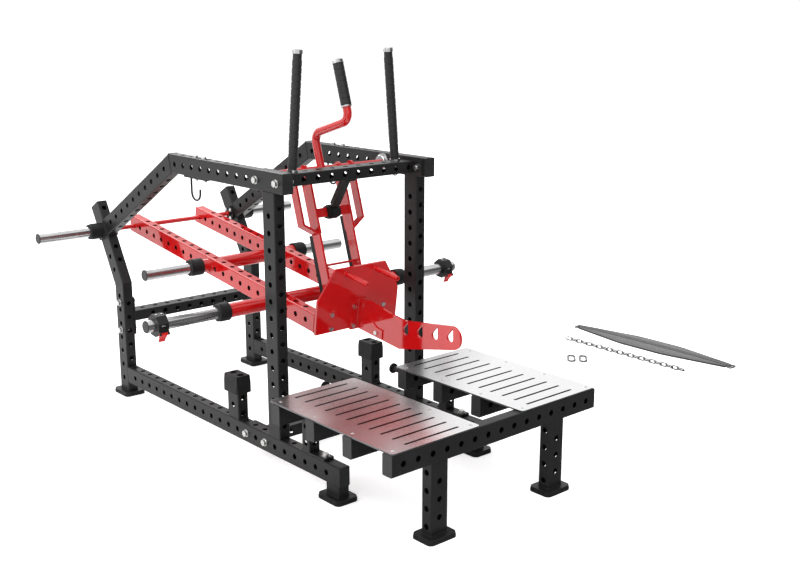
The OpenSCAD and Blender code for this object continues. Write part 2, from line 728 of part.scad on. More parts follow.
module pivot_bearings() {
    color("dimgray") mirrored() translate([-inner_w / 2, pivot_y, pivot_z]) rotate([0, 90, 0]) difference() {
        union() {
            cylinder(d = bearing_d, h = bearing_flange_t, $fn = fine);
            cylinder(d = pivot_d + 14, h = bearing_t, $fn = fine);
        }
        translate([0, 0, -1]) cylinder(d = pivot_d + 2 * run_gap, h = bearing_t + 2, $fn = fine);
        for (d = bearing_bolts()) translate([-d[1], d[0], 0]) drill_z(4 * bearing_t, small_d + tiny);
    }
}

module at_lever() { translate([0, pivot_y, pivot_z]) rotate([arm_slope, 0, 0]) children(); }
module lever_arms() {
    color("red") at_lever() mirrored() translate([-arm_x, 0, 0]) difference() {
        union() {
            translate([0, -arm_front, 0]) tube_y(tube_w, tube_d, arm_front + arm_rear);
            translate([arm_flange_x, -arm_front, 0]) rotate([90, 0, 0]) block_z(tube_w + 2 * arm_flange_x, tube_d + 5, arm_end_t, 6);
        }
        for (k = [0 : 20]) translate([0, -(arm_hole_a + k * pitch), 0])
            if (abs(arm_hole_a + k * pitch - front_sleeve_a) > carrier_d / 2 + hole_d / 2 + 3
                && abs(arm_hole_a + k * pitch - mid_sleeve_a) > carrier_d / 2 + hole_d / 2 + 3)
                drill_x(tube_w + through);
        for (k = [0 : 20]) translate([0, -(arm_hole_a + (k - 0.5) * pitch), 0])
            if (abs(arm_hole_a + (k - 0.5) * pitch) > pitch / 3) drill_z(tube_d + through);
        drill_x(2 * tube_w, pivot_d + tiny);
        for (a = [front_sleeve_a, mid_sleeve_a]) translate([0, -a, carrier_rise]) drill_x(2 * tube_w, carrier_d + 2 * fit);
        for (v = [-arm_bolt_v, arm_bolt_v]) translate([arm_bolt_x, -arm_front, v]) drill_y(4 * arm_end_t, small_d + 2);
    }
}
module pivot_shaft() {
    color("red") at_lever() rotate([0, 90, 0]) cylinder(d = pivot_d, h = inner_w - 4, center = true, $fn = fine);
}
module carrier(l) {
    rotate([0, 90, 0]) difference() {
        cylinder(d = carrier_d, h = l, center = true, $fn = fine);
        cylinder(d = sleeve_d, h = l + 2, center = true, $fn = fine);
    }
}
module front_carrier_tube() { color("red") at_lever() translate([0, -front_sleeve_a, carrier_rise]) carrier(front_carrier_l); }
module middle_carrier_tube() { color("red") at_lever() translate([0, -mid_sleeve_a, carrier_rise]) carrier(mid_carrier_l); }
front_x0 = -front_carrier_l / 2 - front_collar_l - front_sleeve_l;
mid_x0 = -mid_carrier_l / 2 - mid_collar_l - mid_sleeve_l;
clamp_x = -front_x0 - clamp_l / 2 - 36;
module lever_sleeves() {
    color("silver") at_lever() mirrored() {
        translate([0, -front_sleeve_a, carrier_rise]) sleeve_x(front_x0 + cap_t, -front_carrier_l / 2 - front_collar_l, -front_carrier_l / 2 + sleeve_in);
        translate([0, -mid_sleeve_a, carrier_rise]) sleeve_x(mid_x0 + cap_t, -mid_carrier_l / 2 - mid_collar_l, -mid_carrier_l / 2 + sleeve_in);
    }
}
module lever_sleeve_caps() {
    color("black") at_lever() mirrored() {
        translate([0, -front_sleeve_a, carrier_rise]) sleeve_cap(front_x0 + cap_t);
        translate([0, -mid_sleeve_a, carrier_rise]) sleeve_cap(mid_x0 + cap_t);
    }
}
module lever_collars() {
    color("black") at_lever() mirrored() {
        translate([0, -front_sleeve_a, carrier_rise]) collar_x(-front_carrier_l / 2 - front_collar_l, front_collar_l);
        translate([0, -mid_sleeve_a, carrier_rise]) collar_x(-mid_carrier_l / 2 - mid_collar_l, mid_collar_l);
    }
}
module lever_end_plugs() {
    color("black") at_lever() for (s = [-1, 1]) translate([s * arm_x, arm_rear, 0]) rotate([-90, 0, 0]) plug_z(tube_w, tube_d);
}
function plate_points() = [
    [-plate_half, plate_low], [plate_half, plate_low], [plate_half, plate_side_v],
    [plate_top_half, plate_high], [-plate_top_half, plate_high], [-plate_half, plate_side_v]
];
module front_plate() {
    color("red") at_lever() {
        translate([0, -plate_a + plate_t, 0]) rotate([90, 0, 0]) linear_extrude(plate_t) difference() {
            polygon(plate_points());
            for (s = [-1, 1]) for (v = [-arm_bolt_v, arm_bolt_v]) translate([s * (arm_x - arm_bolt_x), v]) circle(d = small_d + 2, $fn = mid_fn);
            for (s = [-1, 1]) for (v = [-31, 50]) translate([s * 26, v]) circle(d = small_d + 2, $fn = mid_fn);
        }
        for (s = [-1, 1]) translate([s * lever_peg_x, -plate_a, lever_peg_v]) rotate([90, 0, 0]) difference() {
            cylinder(d = lever_peg_d, h = lever_peg_l, $fn = fine);
            translate([0, 0, lever_peg_l - 12]) cylinder(d = 8, h = 20, $fn = mid_fn);
        }
        for (s = [-1, 1]) translate([s * (inner_bar_gap / 2 + catch_side), -plate_a + plate_t, catch_at[1]]) rotate([0, 90, 0])
            translate([0, 0, -catch_lug_t / 2]) linear_extrude(catch_lug_t)
                translate([-catch_d, 0]) square([2 * catch_d, plate_a - plate_t + catch_at[0] + catch_d]);
        translate([0, catch_at[0], catch_at[1]]) rotate([0, 90, 0])
            cylinder(d = catch_d, h = inner_bar_gap + 2 * catch_side + 2 * catch_lug_t, center = true, $fn = fine);
    }
}
tongue_r = 46;
tongue_tip = [2033, 108];
function tongue_points() = [
    [plate_a + tongue_flange_t, -45], [plate_a + 275, -42], [tongue_tip[0] + tongue_r * sin(20), tongue_tip[1] - tongue_r * cos(20)],
    [tongue_tip[0] - tongue_r * sin(15), tongue_tip[1] + tongue_r * cos(15)], [plate_a + 292, 84], [plate_a + 224, 84],
    [plate_a + 70, 92], [plate_a + tongue_flange_t, 80]
];
module teardrop() {
    lean = asin(drop_r / drop_h);
    circle(r = drop_r, $fn = mid_fn);
    polygon([[drop_r * cos(lean), drop_r * sin(lean)], [0, drop_h], [-drop_r * cos(lean), drop_r * sin(lean)]]);
}
drop_r = 17;
drop_h = 43;
drop_a = plate_a + 302;
drop_v = 43;
drop_step = [81.6, 20.5];
stay_a = plate_a + 136;
module pull_tongue() {
    color("red") at_lever() {
        translate([-tongue_t / 2, 0, 0]) rotate([90, 0, 90]) linear_extrude(tongue_t) mirror([1, 0]) difference() {
            union() {
                polygon(tongue_points());
                translate(tongue_tip) circle(r = tongue_r, $fn = fine);
            }
            for (k = [0 : 3]) translate([drop_a + k * drop_step[0], drop_v + k * drop_step[1]]) rotate(-12) teardrop();
        }
        translate([0, -plate_a, 15]) rotate([90, 0, 0]) linear_extrude(tongue_flange_t) difference() {
            section(84, 130, 8);
            for (s = [-1, 1]) for (v = [-31, 50]) translate([s * 26, v - 15]) circle(d = small_d + 2, $fn = mid_fn);
        }
        translate([-tongue_t / 2 - 5, 0, 0]) rotate([90, 0, 90]) linear_extrude(5) mirror([1, 0])
            polygon([[stay_a - 52, 20], [stay_a - 38, 20], [stay_a - 2, 0], [stay_a + 36, -1], [stay_a + 36, -38], [stay_a - 18, -38], [stay_a - 18, -8]]);
    }
}
module lever_bolts() {
    color("silver") at_lever() {
        for (s = [-1, 1]) for (v = [-arm_bolt_v, arm_bolt_v]) translate([s * (arm_x - arm_bolt_x), -plate_a, v]) rotate([90, 0, 0])
            small_bolt(plate_t + arm_end_t + 8);
        for (s = [-1, 1]) for (v = [-31, 50]) translate([s * 26, -plate_a - tongue_flange_t, v]) rotate([90, 0, 0])
            small_bolt(plate_t + tongue_flange_t + 8);
        translate([-tongue_t / 2 - 5, -stay_a, -22]) rotate([0, -90, 0]) small_bolt(0);
    }
}

module at_lock() { translate([0, shaft_y, shaft_z]) rotate([-lock_lean, 0, 0]) children(); }
module bar_x(x) { translate([x - bar_t / 2, 0, 0]) rotate([90, 0, 90]) linear_extrude(bar_t) children(); }
module inner_bar_2d() {
    difference() {
        union() {
            circle(r = lug_r, $fn = fine);
            translate([-lug_r, -60]) square([2 * lug_r, 60]);
            translate([-bar_d / 2, -bar_end]) square([bar_d, bar_end - 20]);
            translate([-bar_d / 2 - 5, -join_z]) square([bar_d + 10, join_z - 20]);
            translate([-lip_y, -bar_end]) square([lip_y, lip_t]);
        }
        translate([-bar_d / 2 - 1, catch_z - catch_d / 2 - hook_gap]) square([notch_d + 1, catch_d + 2 * hook_gap + 6]);
    }
}
module outer_bar() {
    x0 = outer_bar_gap / 2;
    x1 = inner_bar_gap / 2 + bar_t / 2;
    translate([0, bar_d / 2 - 4, 0]) rotate([90, 0, 0]) linear_extrude(bar_d - 8)
        polygon([
            [-x0 - bar_t / 2, 10], [-x0 + bar_t / 2, 10], [-x0 + bar_t / 2, -brace_z + 3], [-x1, -join_z + 10],
            [-x1, -join_z - 2], [-x0 - bar_t / 2, -brace_z - 2]
        ]);
    bar_x(-x0) circle(r = lug_r, $fn = fine);
}
module lockout_frame() {
    color("red") at_lock() {
        rotate([0, 90, 0]) cylinder(d = lock_shaft_d, h = inner_w - 4, center = true, $fn = fine);
        mirrored() {
            bar_x(-inner_bar_gap / 2) inner_bar_2d();
            outer_bar();
        }
        translate([-inner_bar_gap / 2, crossbar_y, -crossbar_z]) rotate([0, 90, 0]) linear_extrude(inner_bar_gap) section(crossbar_h, crossbar_t, 3);
        translate([0, 0, -rod_z]) rotate([0, 90, 0]) cylinder(d = rod_d, h = inner_bar_gap, center = true, $fn = mid_fn);
    }
}
module lockout_strips() {
    color("black") at_lock() {
        translate([-inner_bar_gap / 2 - bar_t / 2, bar_d / 2, -bar_end + 20]) cube([bar_t, strip_t, bar_end - 20 - join_z]);
        translate([inner_bar_gap / 2 - bar_t / 2, bar_d / 2, -bar_end + 20]) cube([bar_t, strip_t, bar_end - 20 - join_z]);
        translate([inner_bar_gap / 2 - bar_t / 2, bar_d / 2 + 5 + tiny, -join_z]) cube([bar_t, strip_t - 5 - tiny, join_z - crossbar_z - 20]);
        translate([0, crossbar_y, -crossbar_z]) rotate([0, 90, 0]) difference() {
            union() {
                cylinder(d = sleeve_pad_d, h = sleeve_pad_l, center = true, $fn = fine);
                cylinder(d = sleeve_pad_d + 8, h = sleeve_pad_l - 24, center = true, $fn = fine);
            }
            translate([0, 0, -sleeve_pad_l]) linear_extrude(2 * sleeve_pad_l) section(crossbar_h + tiny, crossbar_t + tiny, 3);
        }
    }
}
module lockout_bearings() {
    color("silver") mirrored() translate([-inner_w / 2, shaft_y, shaft_z]) rotate([0, 90, 0]) difference() {
        union() {
            cylinder(d = lock_flange_d, h = 8, $fn = fine);
            intersection() {
                cylinder(d = lock_flange_d - 12, h = lock_bearing_t, $fn = fine);
                sphere(r = lock_flange_d / 2, $fn = fine);
            }
        }
        translate([0, 0, -1]) cylinder(d = lock_shaft_d + 2 * run_gap, h = 2 * lock_bearing_t, $fn = fine);
    }
}
module lockout_stop_arm() {
    top = [cross_y, top_z - tube_w / 2];
    hub = lock_world(crossbar_y, -crossbar_z);
    reach = sqrt(pow(top[0] - hub[0], 2) + pow(top[1] - hub[1], 2));
    lean = atan2(hub[0] - top[0], top[1] - hub[1]);
    color("dimgray") {
        translate([0, top[0], top[1] - 6]) block_z(60, tube_d - 10, 6, 8);
        difference() {
            translate([0, top[0], top[1] - 2]) rotate([lean, 0, 0]) translate([0, 0, -(reach - sleeve_pad_d / 2 - stop_gap)])
                linear_extrude(reach - sleeve_pad_d / 2 - stop_gap) section(36, 28, 4);
            translate([0, top[0], top[1] + 40 - 1]) cube([120, 120, 80], center = true);
        }
    }
}
module crank_handle() {
    color("red") at_lock() {
        difference() {
            cylinder(d = crank_d, h = crank_h - crank_r, $fn = fine);
            drill_x(2 * crank_d, lock_shaft_d + 2 * run_gap);
            translate([0, 0, -crank_d]) cube(2 * crank_d, center = true);
        }
        translate([0, -crank_r, crank_h - crank_r]) rotate([0, 90, 0]) rotate([0, 0, 90]) rotate_extrude(angle = 90, $fn = fine)
            translate([crank_r, 0]) circle(d = crank_d, $fn = mid_fn);
        translate([0, -crank_r, crank_h]) rotate([90, 0, 0]) cylinder(d = crank_d, h = crank_reach - 2 * crank_r, $fn = fine);
        translate([0, -crank_reach + crank_r, crank_h + crank_r]) rotate([0, 90, 0]) rotate([0, 0, -90]) rotate_extrude(angle = 90, $fn = fine)
            translate([crank_r, 0]) circle(d = crank_d, $fn = mid_fn);
        translate([0, -crank_reach, crank_h + crank_r]) cylinder(d = crank_d, h = grip_z + grip_l - crank_h - crank_r - 2, $fn = fine);
    }
}
module crank_grip() {
    color("black") at_lock() translate([0, -crank_reach, grip_z]) difference() {
        union() {
            cylinder(d = grip_d - 3, h = grip_l, $fn = fine);
            cylinder(d = grip_d + 2, h = 6, $fn = fine);
            for (i = [0 : 6]) translate([0, 0, 10 + i * grip_rib]) cylinder(d = grip_d, h = grip_rib - 3.6, $fn = fine);
            translate([0, 0, grip_l]) cylinder(d = grip_d + 3, h = grip_cap - 3, $fn = fine);
            translate([0, 0, grip_l + grip_cap - 3]) cylinder(d1 = grip_d + 3, d2 = grip_d - 4, h = 3, $fn = fine);
        }
        translate([0, 0, -1]) cylinder(d = crank_d + 2 * tiny, h = grip_l, $fn = fine);
    }
}
grip_rib = 23.6;

module at_clamp() {
    at_lever() translate([-clamp_x, -front_sleeve_a, carrier_rise]) children();
}
module clamp_profile(d) { rotate([0, 0, 22.5]) circle(d = d / cos(22.5), $fn = 8); }
module at_latch() { at_clamp() rotate([-45, 0, 0]) children(); }
module clamp_left() {
    color("dimgray") difference() {
        union() {
            at_clamp() rotate([0, 90, 0]) translate([0, 0, -clamp_l / 2]) linear_extrude(clamp_l) clamp_profile(clamp_d);
            at_latch() for (s = [-1, 1]) translate([s * (clamp_l / 2 - latch_lug_t / 2), latch_y, -clamp_d / 2 - latch_out])
                rotate([0, 90, 0]) translate([0, 0, -latch_lug_t / 2]) linear_extrude(latch_lug_t) {
                    circle(r = latch_lug_r, $fn = mid_fn);
                    translate([-latch_out - 4, -latch_lug_r]) square([latch_out + 4, 2 * latch_lug_r]);
                }
        }
        at_clamp() rotate([0, 90, 0]) cylinder(d = clamp_bore, h = clamp_l + 2, center = true, $fn = fine);
        at_latch() translate([0, latch_y, -clamp_d / 2 - latch_out]) drill_x(2 * clamp_l, latch_pin + 2 * run_gap);
        at_latch() translate([0, clamp_d / 4, -clamp_d / 2]) cube([24, 12, 24], center = true);
        at_clamp() translate([0, -clamp_d / 2, 8]) cube([22, 16, 12], center = true);
    }
}
module clamp_right() { mirror([1, 0, 0]) clamp_left(); }
module clamp_latch_left() {
    latch_w = clamp_l - 2 * latch_lug_t - 2 * fit;
    color("red") at_latch() translate([0, latch_y, -clamp_d / 2 - latch_out]) {
        rotate([0, 90, 0]) cylinder(d = latch_pin, h = clamp_l, center = true, $fn = mid_fn);
        rotate([90, 0, 90]) translate([0, 0, -latch_w / 2]) linear_extrude(latch_w) {
            circle(r = latch_lug_r - 1, $fn = mid_fn);
            polygon([[0, -latch_lug_r + 1], [latch_l, -latch_lug_r + 1], [latch_l + 12, -latch_lug_r - 6], [latch_l + 9, -latch_lug_r - 9],
                [latch_l - 4, -latch_lug_r - 3], [0, -latch_lug_r - 3 + 4.2]]);
            translate([0, -latch_lug_r + 1]) square([latch_l - 4, latch_lug_r]);
        }
    }
}
module clamp_latch_right() { mirror([1, 0, 0]) clamp_latch_left(); }

belt_nu = 28;
belt_nv = 10;
function belt_half(s) = belt_w / 2 * (0.30 + 0.70 * pow(sin(180 * s), 0.8));
function belt_crown(v) = belt_t * (0.45 + 0.55 * sqrt(max(0, 1 - pow(abs(v), 3))));
function belt_points() = concat(
    [for (i = [0 : belt_nu]) for (j = [0 : belt_nv]) let (s = i / belt_nu, v = 2 * j / belt_nv - 1)
        [belt_half(s) * v, (s - 0.5) * belt_l, belt_crown(v) * (0.55 + 0.45 * sqrt(sin(180 * min(max(s, 0.02), 0.98))))]],
    [for (i = [0 : belt_nu]) for (j = [0 : belt_nv]) let (s = i / belt_nu, v = 2 * j / belt_nv - 1)
        [belt_half(s) * v, (s - 0.5) * belt_l, 0]]
);
function at(i, j) = i * (belt_nv + 1) + j;
function belt_faces() = let (o = (belt_nu + 1) * (belt_nv + 1)) concat(
    [for (i = [0 : belt_nu - 1]) for (j = [0 : belt_nv - 1]) each [
        [at(i, j), at(i + 1, j), at(i + 1, j + 1)], [at(i, j), at(i + 1, j + 1), at(i, j + 1)],
        [o + at(i, j), o + at(i + 1, j + 1), o + at(i + 1, j)], [o + at(i, j), o + at(i, j + 1), o + at(i + 1, j + 1)]]],
    [for (i = [0 : belt_nu - 1]) each [
        [at(i, 0), o + at(i + 1, 0), at(i + 1, 0)], [at(i, 0), o + at(i, 0), o + at(i + 1, 0)],
        [at(i, belt_nv), at(i + 1, belt_nv), o + at(i + 1, belt_nv)], [at(i, belt_nv), o + at(i + 1, belt_nv), o + at(i, belt_nv)]]],
    [for (j = [0 : belt_nv - 1]) each [
        [at(0, j), at(0, j + 1), o + at(0, j + 1)], [at(0, j), o + at(0, j + 1), o + at(0, j)],
        [at(belt_nu, j), o + at(belt_nu, j + 1), at(belt_nu, j + 1)], [at(belt_nu, j), o + at(belt_nu, j), o + at(belt_nu, j + 1)]]]
);
module padded_belt() { color("black") translate([belt_x, belt_y, 0]) polyhedron(belt_points(), belt_faces()); }
module oval_ring(w, l, d) {
    // straight sides along Y joined by half rings
    for (s = [-1, 1]) translate([s * w / 2, 0, 0]) rotate([90, 0, 0]) cylinder(d = d, h = l, center = true, $fn = mid_fn);
    translate([0, l / 2, 0]) rotate_extrude(angle = 180, $fn = fine) translate([w / 2, 0]) circle(d = d, $fn = mid_fn);
    translate([0, -l / 2, 0]) rotate([0, 0, 180]) rotate_extrude(angle = 180, $fn = fine) translate([w / 2, 0]) circle(d = d, $fn = mid_fn);
}
ring_d = 8;
module belt_rings() {
    color("silver") translate([belt_x, belt_y, ring_d / 2]) for (s = [-1, 1])
        translate([0, s * (belt_l / 2 + ring_d / 2 + 11 + tiny), 0]) rotate([0, 0, 90]) oval_ring(22, 30, ring_d);
}
module chain() {
    color("silver") translate([chain_x, belt_y - chain_step * (chain_n - 1) / 2, chain_lift]) for (i = [0 : chain_n - 1])
        translate([0, i * chain_step, 0]) rotate([0, i % 2 == 0 ? 45 : -45, 0]) oval_ring(2 * chain_bend, chain_straight, chain_wire);
}
carab_d = 10;
carab_w = 34;
carab_l = 66;
function carab_spot(i) = [hook_x + 42 * (i - 0.5), hook_spot_y + (i - 0.5) * -46];
module at_carab(i) { translate([carab_spot(i)[0], carab_spot(i)[1], carab_d / 2]) rotate([0, 0, -48]) children(); }
gate_l = 44;
module carabiners() {
    color("silver") for (i = [0, 1]) at_carab(i) difference() {
        oval_ring(carab_w, carab_l, carab_d);
        translate([carab_w / 2, 0, 0]) cube([2 * carab_d, gate_l, 2 * carab_d], center = true);
    }
}
module gate() {
    r = carab_d / 2 - 0.5;
    reach = gate_l / 2 - r - tiny;
    translate([carab_w / 2, 0, 0]) {
        rotate([90, 0, 0]) cylinder(r = r, h = 2 * reach, center = true, $fn = mid_fn);
        for (s = [-1, 1]) translate([0, s * reach, 0]) sphere(r = r, $fn = mid_fn);
    }
}
module carabiner_gate_1() { color("silver") at_carab(0) gate(); }
module carabiner_gate_2() { color("silver") at_carab(1) gate(); }

module base_rail_left() { base_rail(); }
module base_rail_right() { mirror([1, 0, 0]) base_rail(); }
module front_upright_left() { front_upright(); }
module front_upright_right() { mirror([1, 0, 0]) front_upright(); }
module rear_post_left() { rear_post(); }
module rear_post_right() { mirror([1, 0, 0]) rear_post(); }
module top_rail_left() { top_rail(); }
module top_rail_right() { mirror([1, 0, 0]) top_rail(); }
module platform_joists_left() { platform_joists(); }
module platform_joists_right() { mirror([1, 0, 0]) platform_joists(); }
module tread_plate_left() { tread_plate(); }
module tread_plate_right() { mirror([1, 0, 0]) tread_plate(); }

base_rail_left();
base_rail_right();
front_upright_left();
front_upright_right();
rear_post_left();
rear_post_right();
top_rail_left();
top_rail_right();
front_cross_tube();
rear_cross_tube();
base_cross_tube();
platform_front_tube();
platform_joists_left();
platform_joists_right();
platform_posts();
tread_plate_left();
tread_plate_right();
tread_screws();
foot_plates();
foot_pads();
frame_end_plugs();
frame_bolts();
frame_nuts();
bumper_posts();
bumper_caps();
band_pegs();
handle_posts();
handle_caps();
belt_hooks();
storage_sleeves();
storage_collars();
storage_sleeve_caps();
pivot_bearings();
lockout_bearings();
lockout_stop_arm();
lever_arms();
pivot_shaft();
front_carrier_tube();
middle_carrier_tube();
lever_sleeves();
lever_sleeve_caps();
lever_collars();
lever_end_plugs();
front_plate();
pull_tongue();
lever_bolts();
lockout_frame();
crank_handle();
crank_grip();
lockout_strips();
clamp_left();
clamp_right();
clamp_latch_left();
clamp_latch_right();
padded_belt();
belt_rings();
chain();
carabiners();
carabiner_gate_1();
carabiner_gate_2();
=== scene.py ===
"""Belt squat machine: finishes, the sewn belt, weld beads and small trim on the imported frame.

Everything is in metres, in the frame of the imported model: +X to the user's right,
+Y from the platform to the lever pivot, +Z up.
"""
import json
import math

import bmesh
import bpy
import numpy as np
from mathutils import Matrix


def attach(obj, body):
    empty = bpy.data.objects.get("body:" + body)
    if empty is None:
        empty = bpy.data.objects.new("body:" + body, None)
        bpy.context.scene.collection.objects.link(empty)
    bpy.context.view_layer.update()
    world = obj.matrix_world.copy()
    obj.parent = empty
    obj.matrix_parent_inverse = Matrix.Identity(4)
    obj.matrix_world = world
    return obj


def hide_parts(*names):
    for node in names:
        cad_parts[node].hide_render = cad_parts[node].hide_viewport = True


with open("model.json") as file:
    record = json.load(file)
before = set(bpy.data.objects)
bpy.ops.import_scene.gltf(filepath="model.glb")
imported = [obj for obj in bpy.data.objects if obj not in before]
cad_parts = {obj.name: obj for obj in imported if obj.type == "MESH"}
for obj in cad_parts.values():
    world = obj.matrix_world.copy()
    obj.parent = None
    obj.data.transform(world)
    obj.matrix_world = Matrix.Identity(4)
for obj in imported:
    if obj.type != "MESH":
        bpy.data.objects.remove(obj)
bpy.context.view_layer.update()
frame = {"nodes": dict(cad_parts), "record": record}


# placing of the camera and the lamps

def placing(right, up, back, at):
    """A placing whose own x, y and z axes are right, up and back, and whose origin is at."""
    place = np.eye(4)
    for column, vector in enumerate((right, up, back, at)):
        place[:3, column] = vector
    return Matrix(place.tolist())


def place_camera():
    """A 50 mm lens at the left front, a little above the handles, 14 degrees down and without roll."""
    data = bpy.data.cameras.new("camera")
    data.sensor_width = 36.0
    data.lens = 49.98
    data.clip_end = 100.0
    cam = bpy.data.objects.new("camera", data)
    cam.matrix_world = placing(
        right=(0.75097, -0.66033, 0.00087),
        up=(0.15455, 0.17705, 0.97199),
        back=(-0.64199, -0.72980, 0.23501),
        at=(-2.787, -3.6983, 1.7958),
    )
    bpy.context.scene.collection.objects.link(cam)
    bpy.context.scene.camera = cam


place_camera()


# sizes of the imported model

# frame tube: width, depth and the radius of its corners
TUBE_W, TUBE_D, TUBE_R = 0.050, 0.080, 0.005
# middle planes of the side frames and of the lever's arms
SIDE_X, ARM_X = 0.365, 0.185
# lever pivot, and the slope of the arms down towards the front
PIVOT_Y, PIVOT_Z, ARM_SLOPE = 1.1995, 0.78862, math.radians(7.73)
# knee of the top rail, and the middle height of its level part
KNEE_Y, TOP_Z = 0.52507, 1.178
# bend of the rear post, and the slant of the tubes beyond the bends
POST_Y, BEND_Z, POST_SLANT = 1.060, 0.547, math.radians(30)
# tops of the base rail and of a foot plate
BASE_TOP, FOOT_TOP = 0.142, 0.020
# front foot of the base rail, platform leg and bumper post
FOOT_Y, LEG_X, LEG_Y, BUMPER_Y = -0.586, 0.307, -1.065, 0.091
# lockout shaft, at the height of the top rail, and the lean of the lockout
LOCK_Y, LOCK_LEAN = -0.035, math.radians(17)
# front and middle carrier tubes along the arms, and their rise above the arms' middle line
FRONT_ALONG, MIDDLE_ALONG, CARRIER_RISE = 1.188, 0.670, 0.005
# locking collar: its place on the sleeve and its depth
CLAMP_X, CLAMP_D = 0.757, 0.084
# padded belt: middle, length, width and thickness
BELT_X, BELT_Y = 2.200, -0.150
BELT_L, BELT_W, BELT_T = 1.000, 0.190, 0.016

ACROSS, ALONG, UPWARDS = (1.0, 0.0, 0.0), (0.0, 1.0, 0.0), (0.0, 0.0, 1.0)


# materials

RAMP_SOCKETS = ("From Min", "From Max", "To Min", "To Max")


class Finish:
    """A material built node by node: one shader, and patterns that read Object coordinates."""

    def __init__(self, name, **sockets):
        self.mat = bpy.data.materials.new(name)
        self.mat.use_nodes = True
        self.tree = self.mat.node_tree
        self.shader = self.tree.nodes["Principled BSDF"]
        self.coords = self.tree.nodes.new("ShaderNodeTexCoord").outputs["Object"]
        for socket, value in sockets.items():
            self.shader.inputs[socket.replace("_", " ")].default_value = value

    def node(self, kind, **settings):
        made = self.tree.nodes.new(kind)
        for key, value in settings.items():
            setattr(made, key, value)
        return made

    def link(self, a, b):
        self.tree.links.new(a, b)

    def math(self, operation, a, b=0.0):
        """One operation on two values, each a number or another node's output."""
        made = self.node("ShaderNodeMath", operation=operation)
        for socket, value in zip(made.inputs, (a, b)):
            if isinstance(value, (int, float)):
                socket.default_value = value
            else:
                self.link(value, socket)
        return made.outputs[0]

    def axis(self, name):
        """X, Y or Z of the point."""
        made = self.node("ShaderNodeSeparateXYZ")
        self.link(self.coords, made.inputs[0])
        return made.outputs[name]

    def noise(self, scale, detail, rough, stretch=(1, 1, 1)):
        """Noise of scale cells per metre, stretch times finer along each axis."""
        stretched = self.node("ShaderNodeMapping")
        stretched.inputs["Scale"].default_value = stretch
        self.link(self.coords, stretched.inputs["Vector"])
        made = self.node("ShaderNodeTexNoise")
        made.inputs["Scale"].default_value = scale
        made.inputs["Detail"].default_value = detail
        made.inputs["Roughness"].default_value = rough
        self.link(stretched.outputs[0], made.inputs["Vector"])
        return made.outputs["Fac"]

    def wave(self, run, pitch):
        """sin(2 pi * run / pitch)."""
        return self.math("SINE", self.math("MULTIPLY", run, 2 * math.pi / pitch))

    def spread(self, fac, low, high, out_low, out_high):
        """A straight ramp from out_low at low to out_high at high, held level past both."""
        made = self.node("ShaderNodeMapRange")
        self.link(fac, made.inputs["Value"])
        for name, value in zip(RAMP_SOCKETS, (low, high, out_low, out_high)):
            made.inputs[name].default_value = value
        return made.outputs["Result"]

    def mix(self, fac, a, b):
        """Colour a where fac is 0, colour b where it is 1."""
        made = self.node("ShaderNodeMix", data_type="RGBA")
        self.link(fac, made.inputs["Factor"])
        for socket, value in ((made.inputs[6], a), (made.inputs[7], b)):
            if isinstance(value, tuple):
                socket.default_value = (*value, 1.0)
            else:
                self.link(value, socket)
        return made.outputs[2]

    def colour(self, out):
        self.link(out, self.shader.inputs["Base Color"])

    def rough(self, out):
        self.link(out, self.shader.inputs["Roughness"])

    def bump(self, height, strength, distance):
        made = self.node("ShaderNodeBump")
        made.inputs["Strength"].default_value = strength
        made.inputs["Distance"].default_value = distance
        self.link(height, made.inputs["Height"])
        self.link(made.outputs[0], self.shader.inputs["Normal"])


def black_powder_coat():
    """Satin black: fine orange peel, faint cloudiness, a little dust lightening."""
    f = Finish("black_powder_coat", Specular_IOR_Level=0.26)
    peel = f.noise(900, 2, 0.5)
    cloud = f.noise(7, 4, 0.6)
    dust = f.noise(60, 6, 0.75)
    tone = f.mix(f.spread(cloud, 0.3, 0.7, 0, 1), (0.0085, 0.0085, 0.009), (0.0135, 0.0135, 0.014))
    f.colour(f.mix(f.spread(dust, 0.60, 0.85, 0, 0.5), tone, (0.030, 0.030, 0.031)))
    f.rough(f.spread(cloud, 0.3, 0.7, 0.33, 0.43))
    f.bump(peel, 0.12, 0.0004)
    return f.mat


def arm_bore(f):
    """1 inside the bore of a lever arm's tube, 0 elsewhere.

    A point is inside where |(|x| - ARM_X)| and the height above the arm's middle line are both
    within the bore. That height is -(y - PIVOT_Y) * sin(slope) + (z - PIVOT_Z) * cos(slope).
    """
    half_width, half_depth = 0.0226, 0.0376
    beside = f.math("ABSOLUTE", f.math("SUBTRACT", f.math("ABSOLUTE", f.axis("X")), ARM_X))
    back = f.math("MULTIPLY", f.math("SUBTRACT", f.axis("Y"), PIVOT_Y), -math.sin(ARM_SLOPE))
    lift = f.math("MULTIPLY", f.math("SUBTRACT", f.axis("Z"), PIVOT_Z), math.cos(ARM_SLOPE))
    above = f.math("ABSOLUTE", f.math("ADD", back, lift))
    return f.math("MULTIPLY", f.math("LESS_THAN", beside, half_width), f.math("LESS_THAN", above, half_depth))


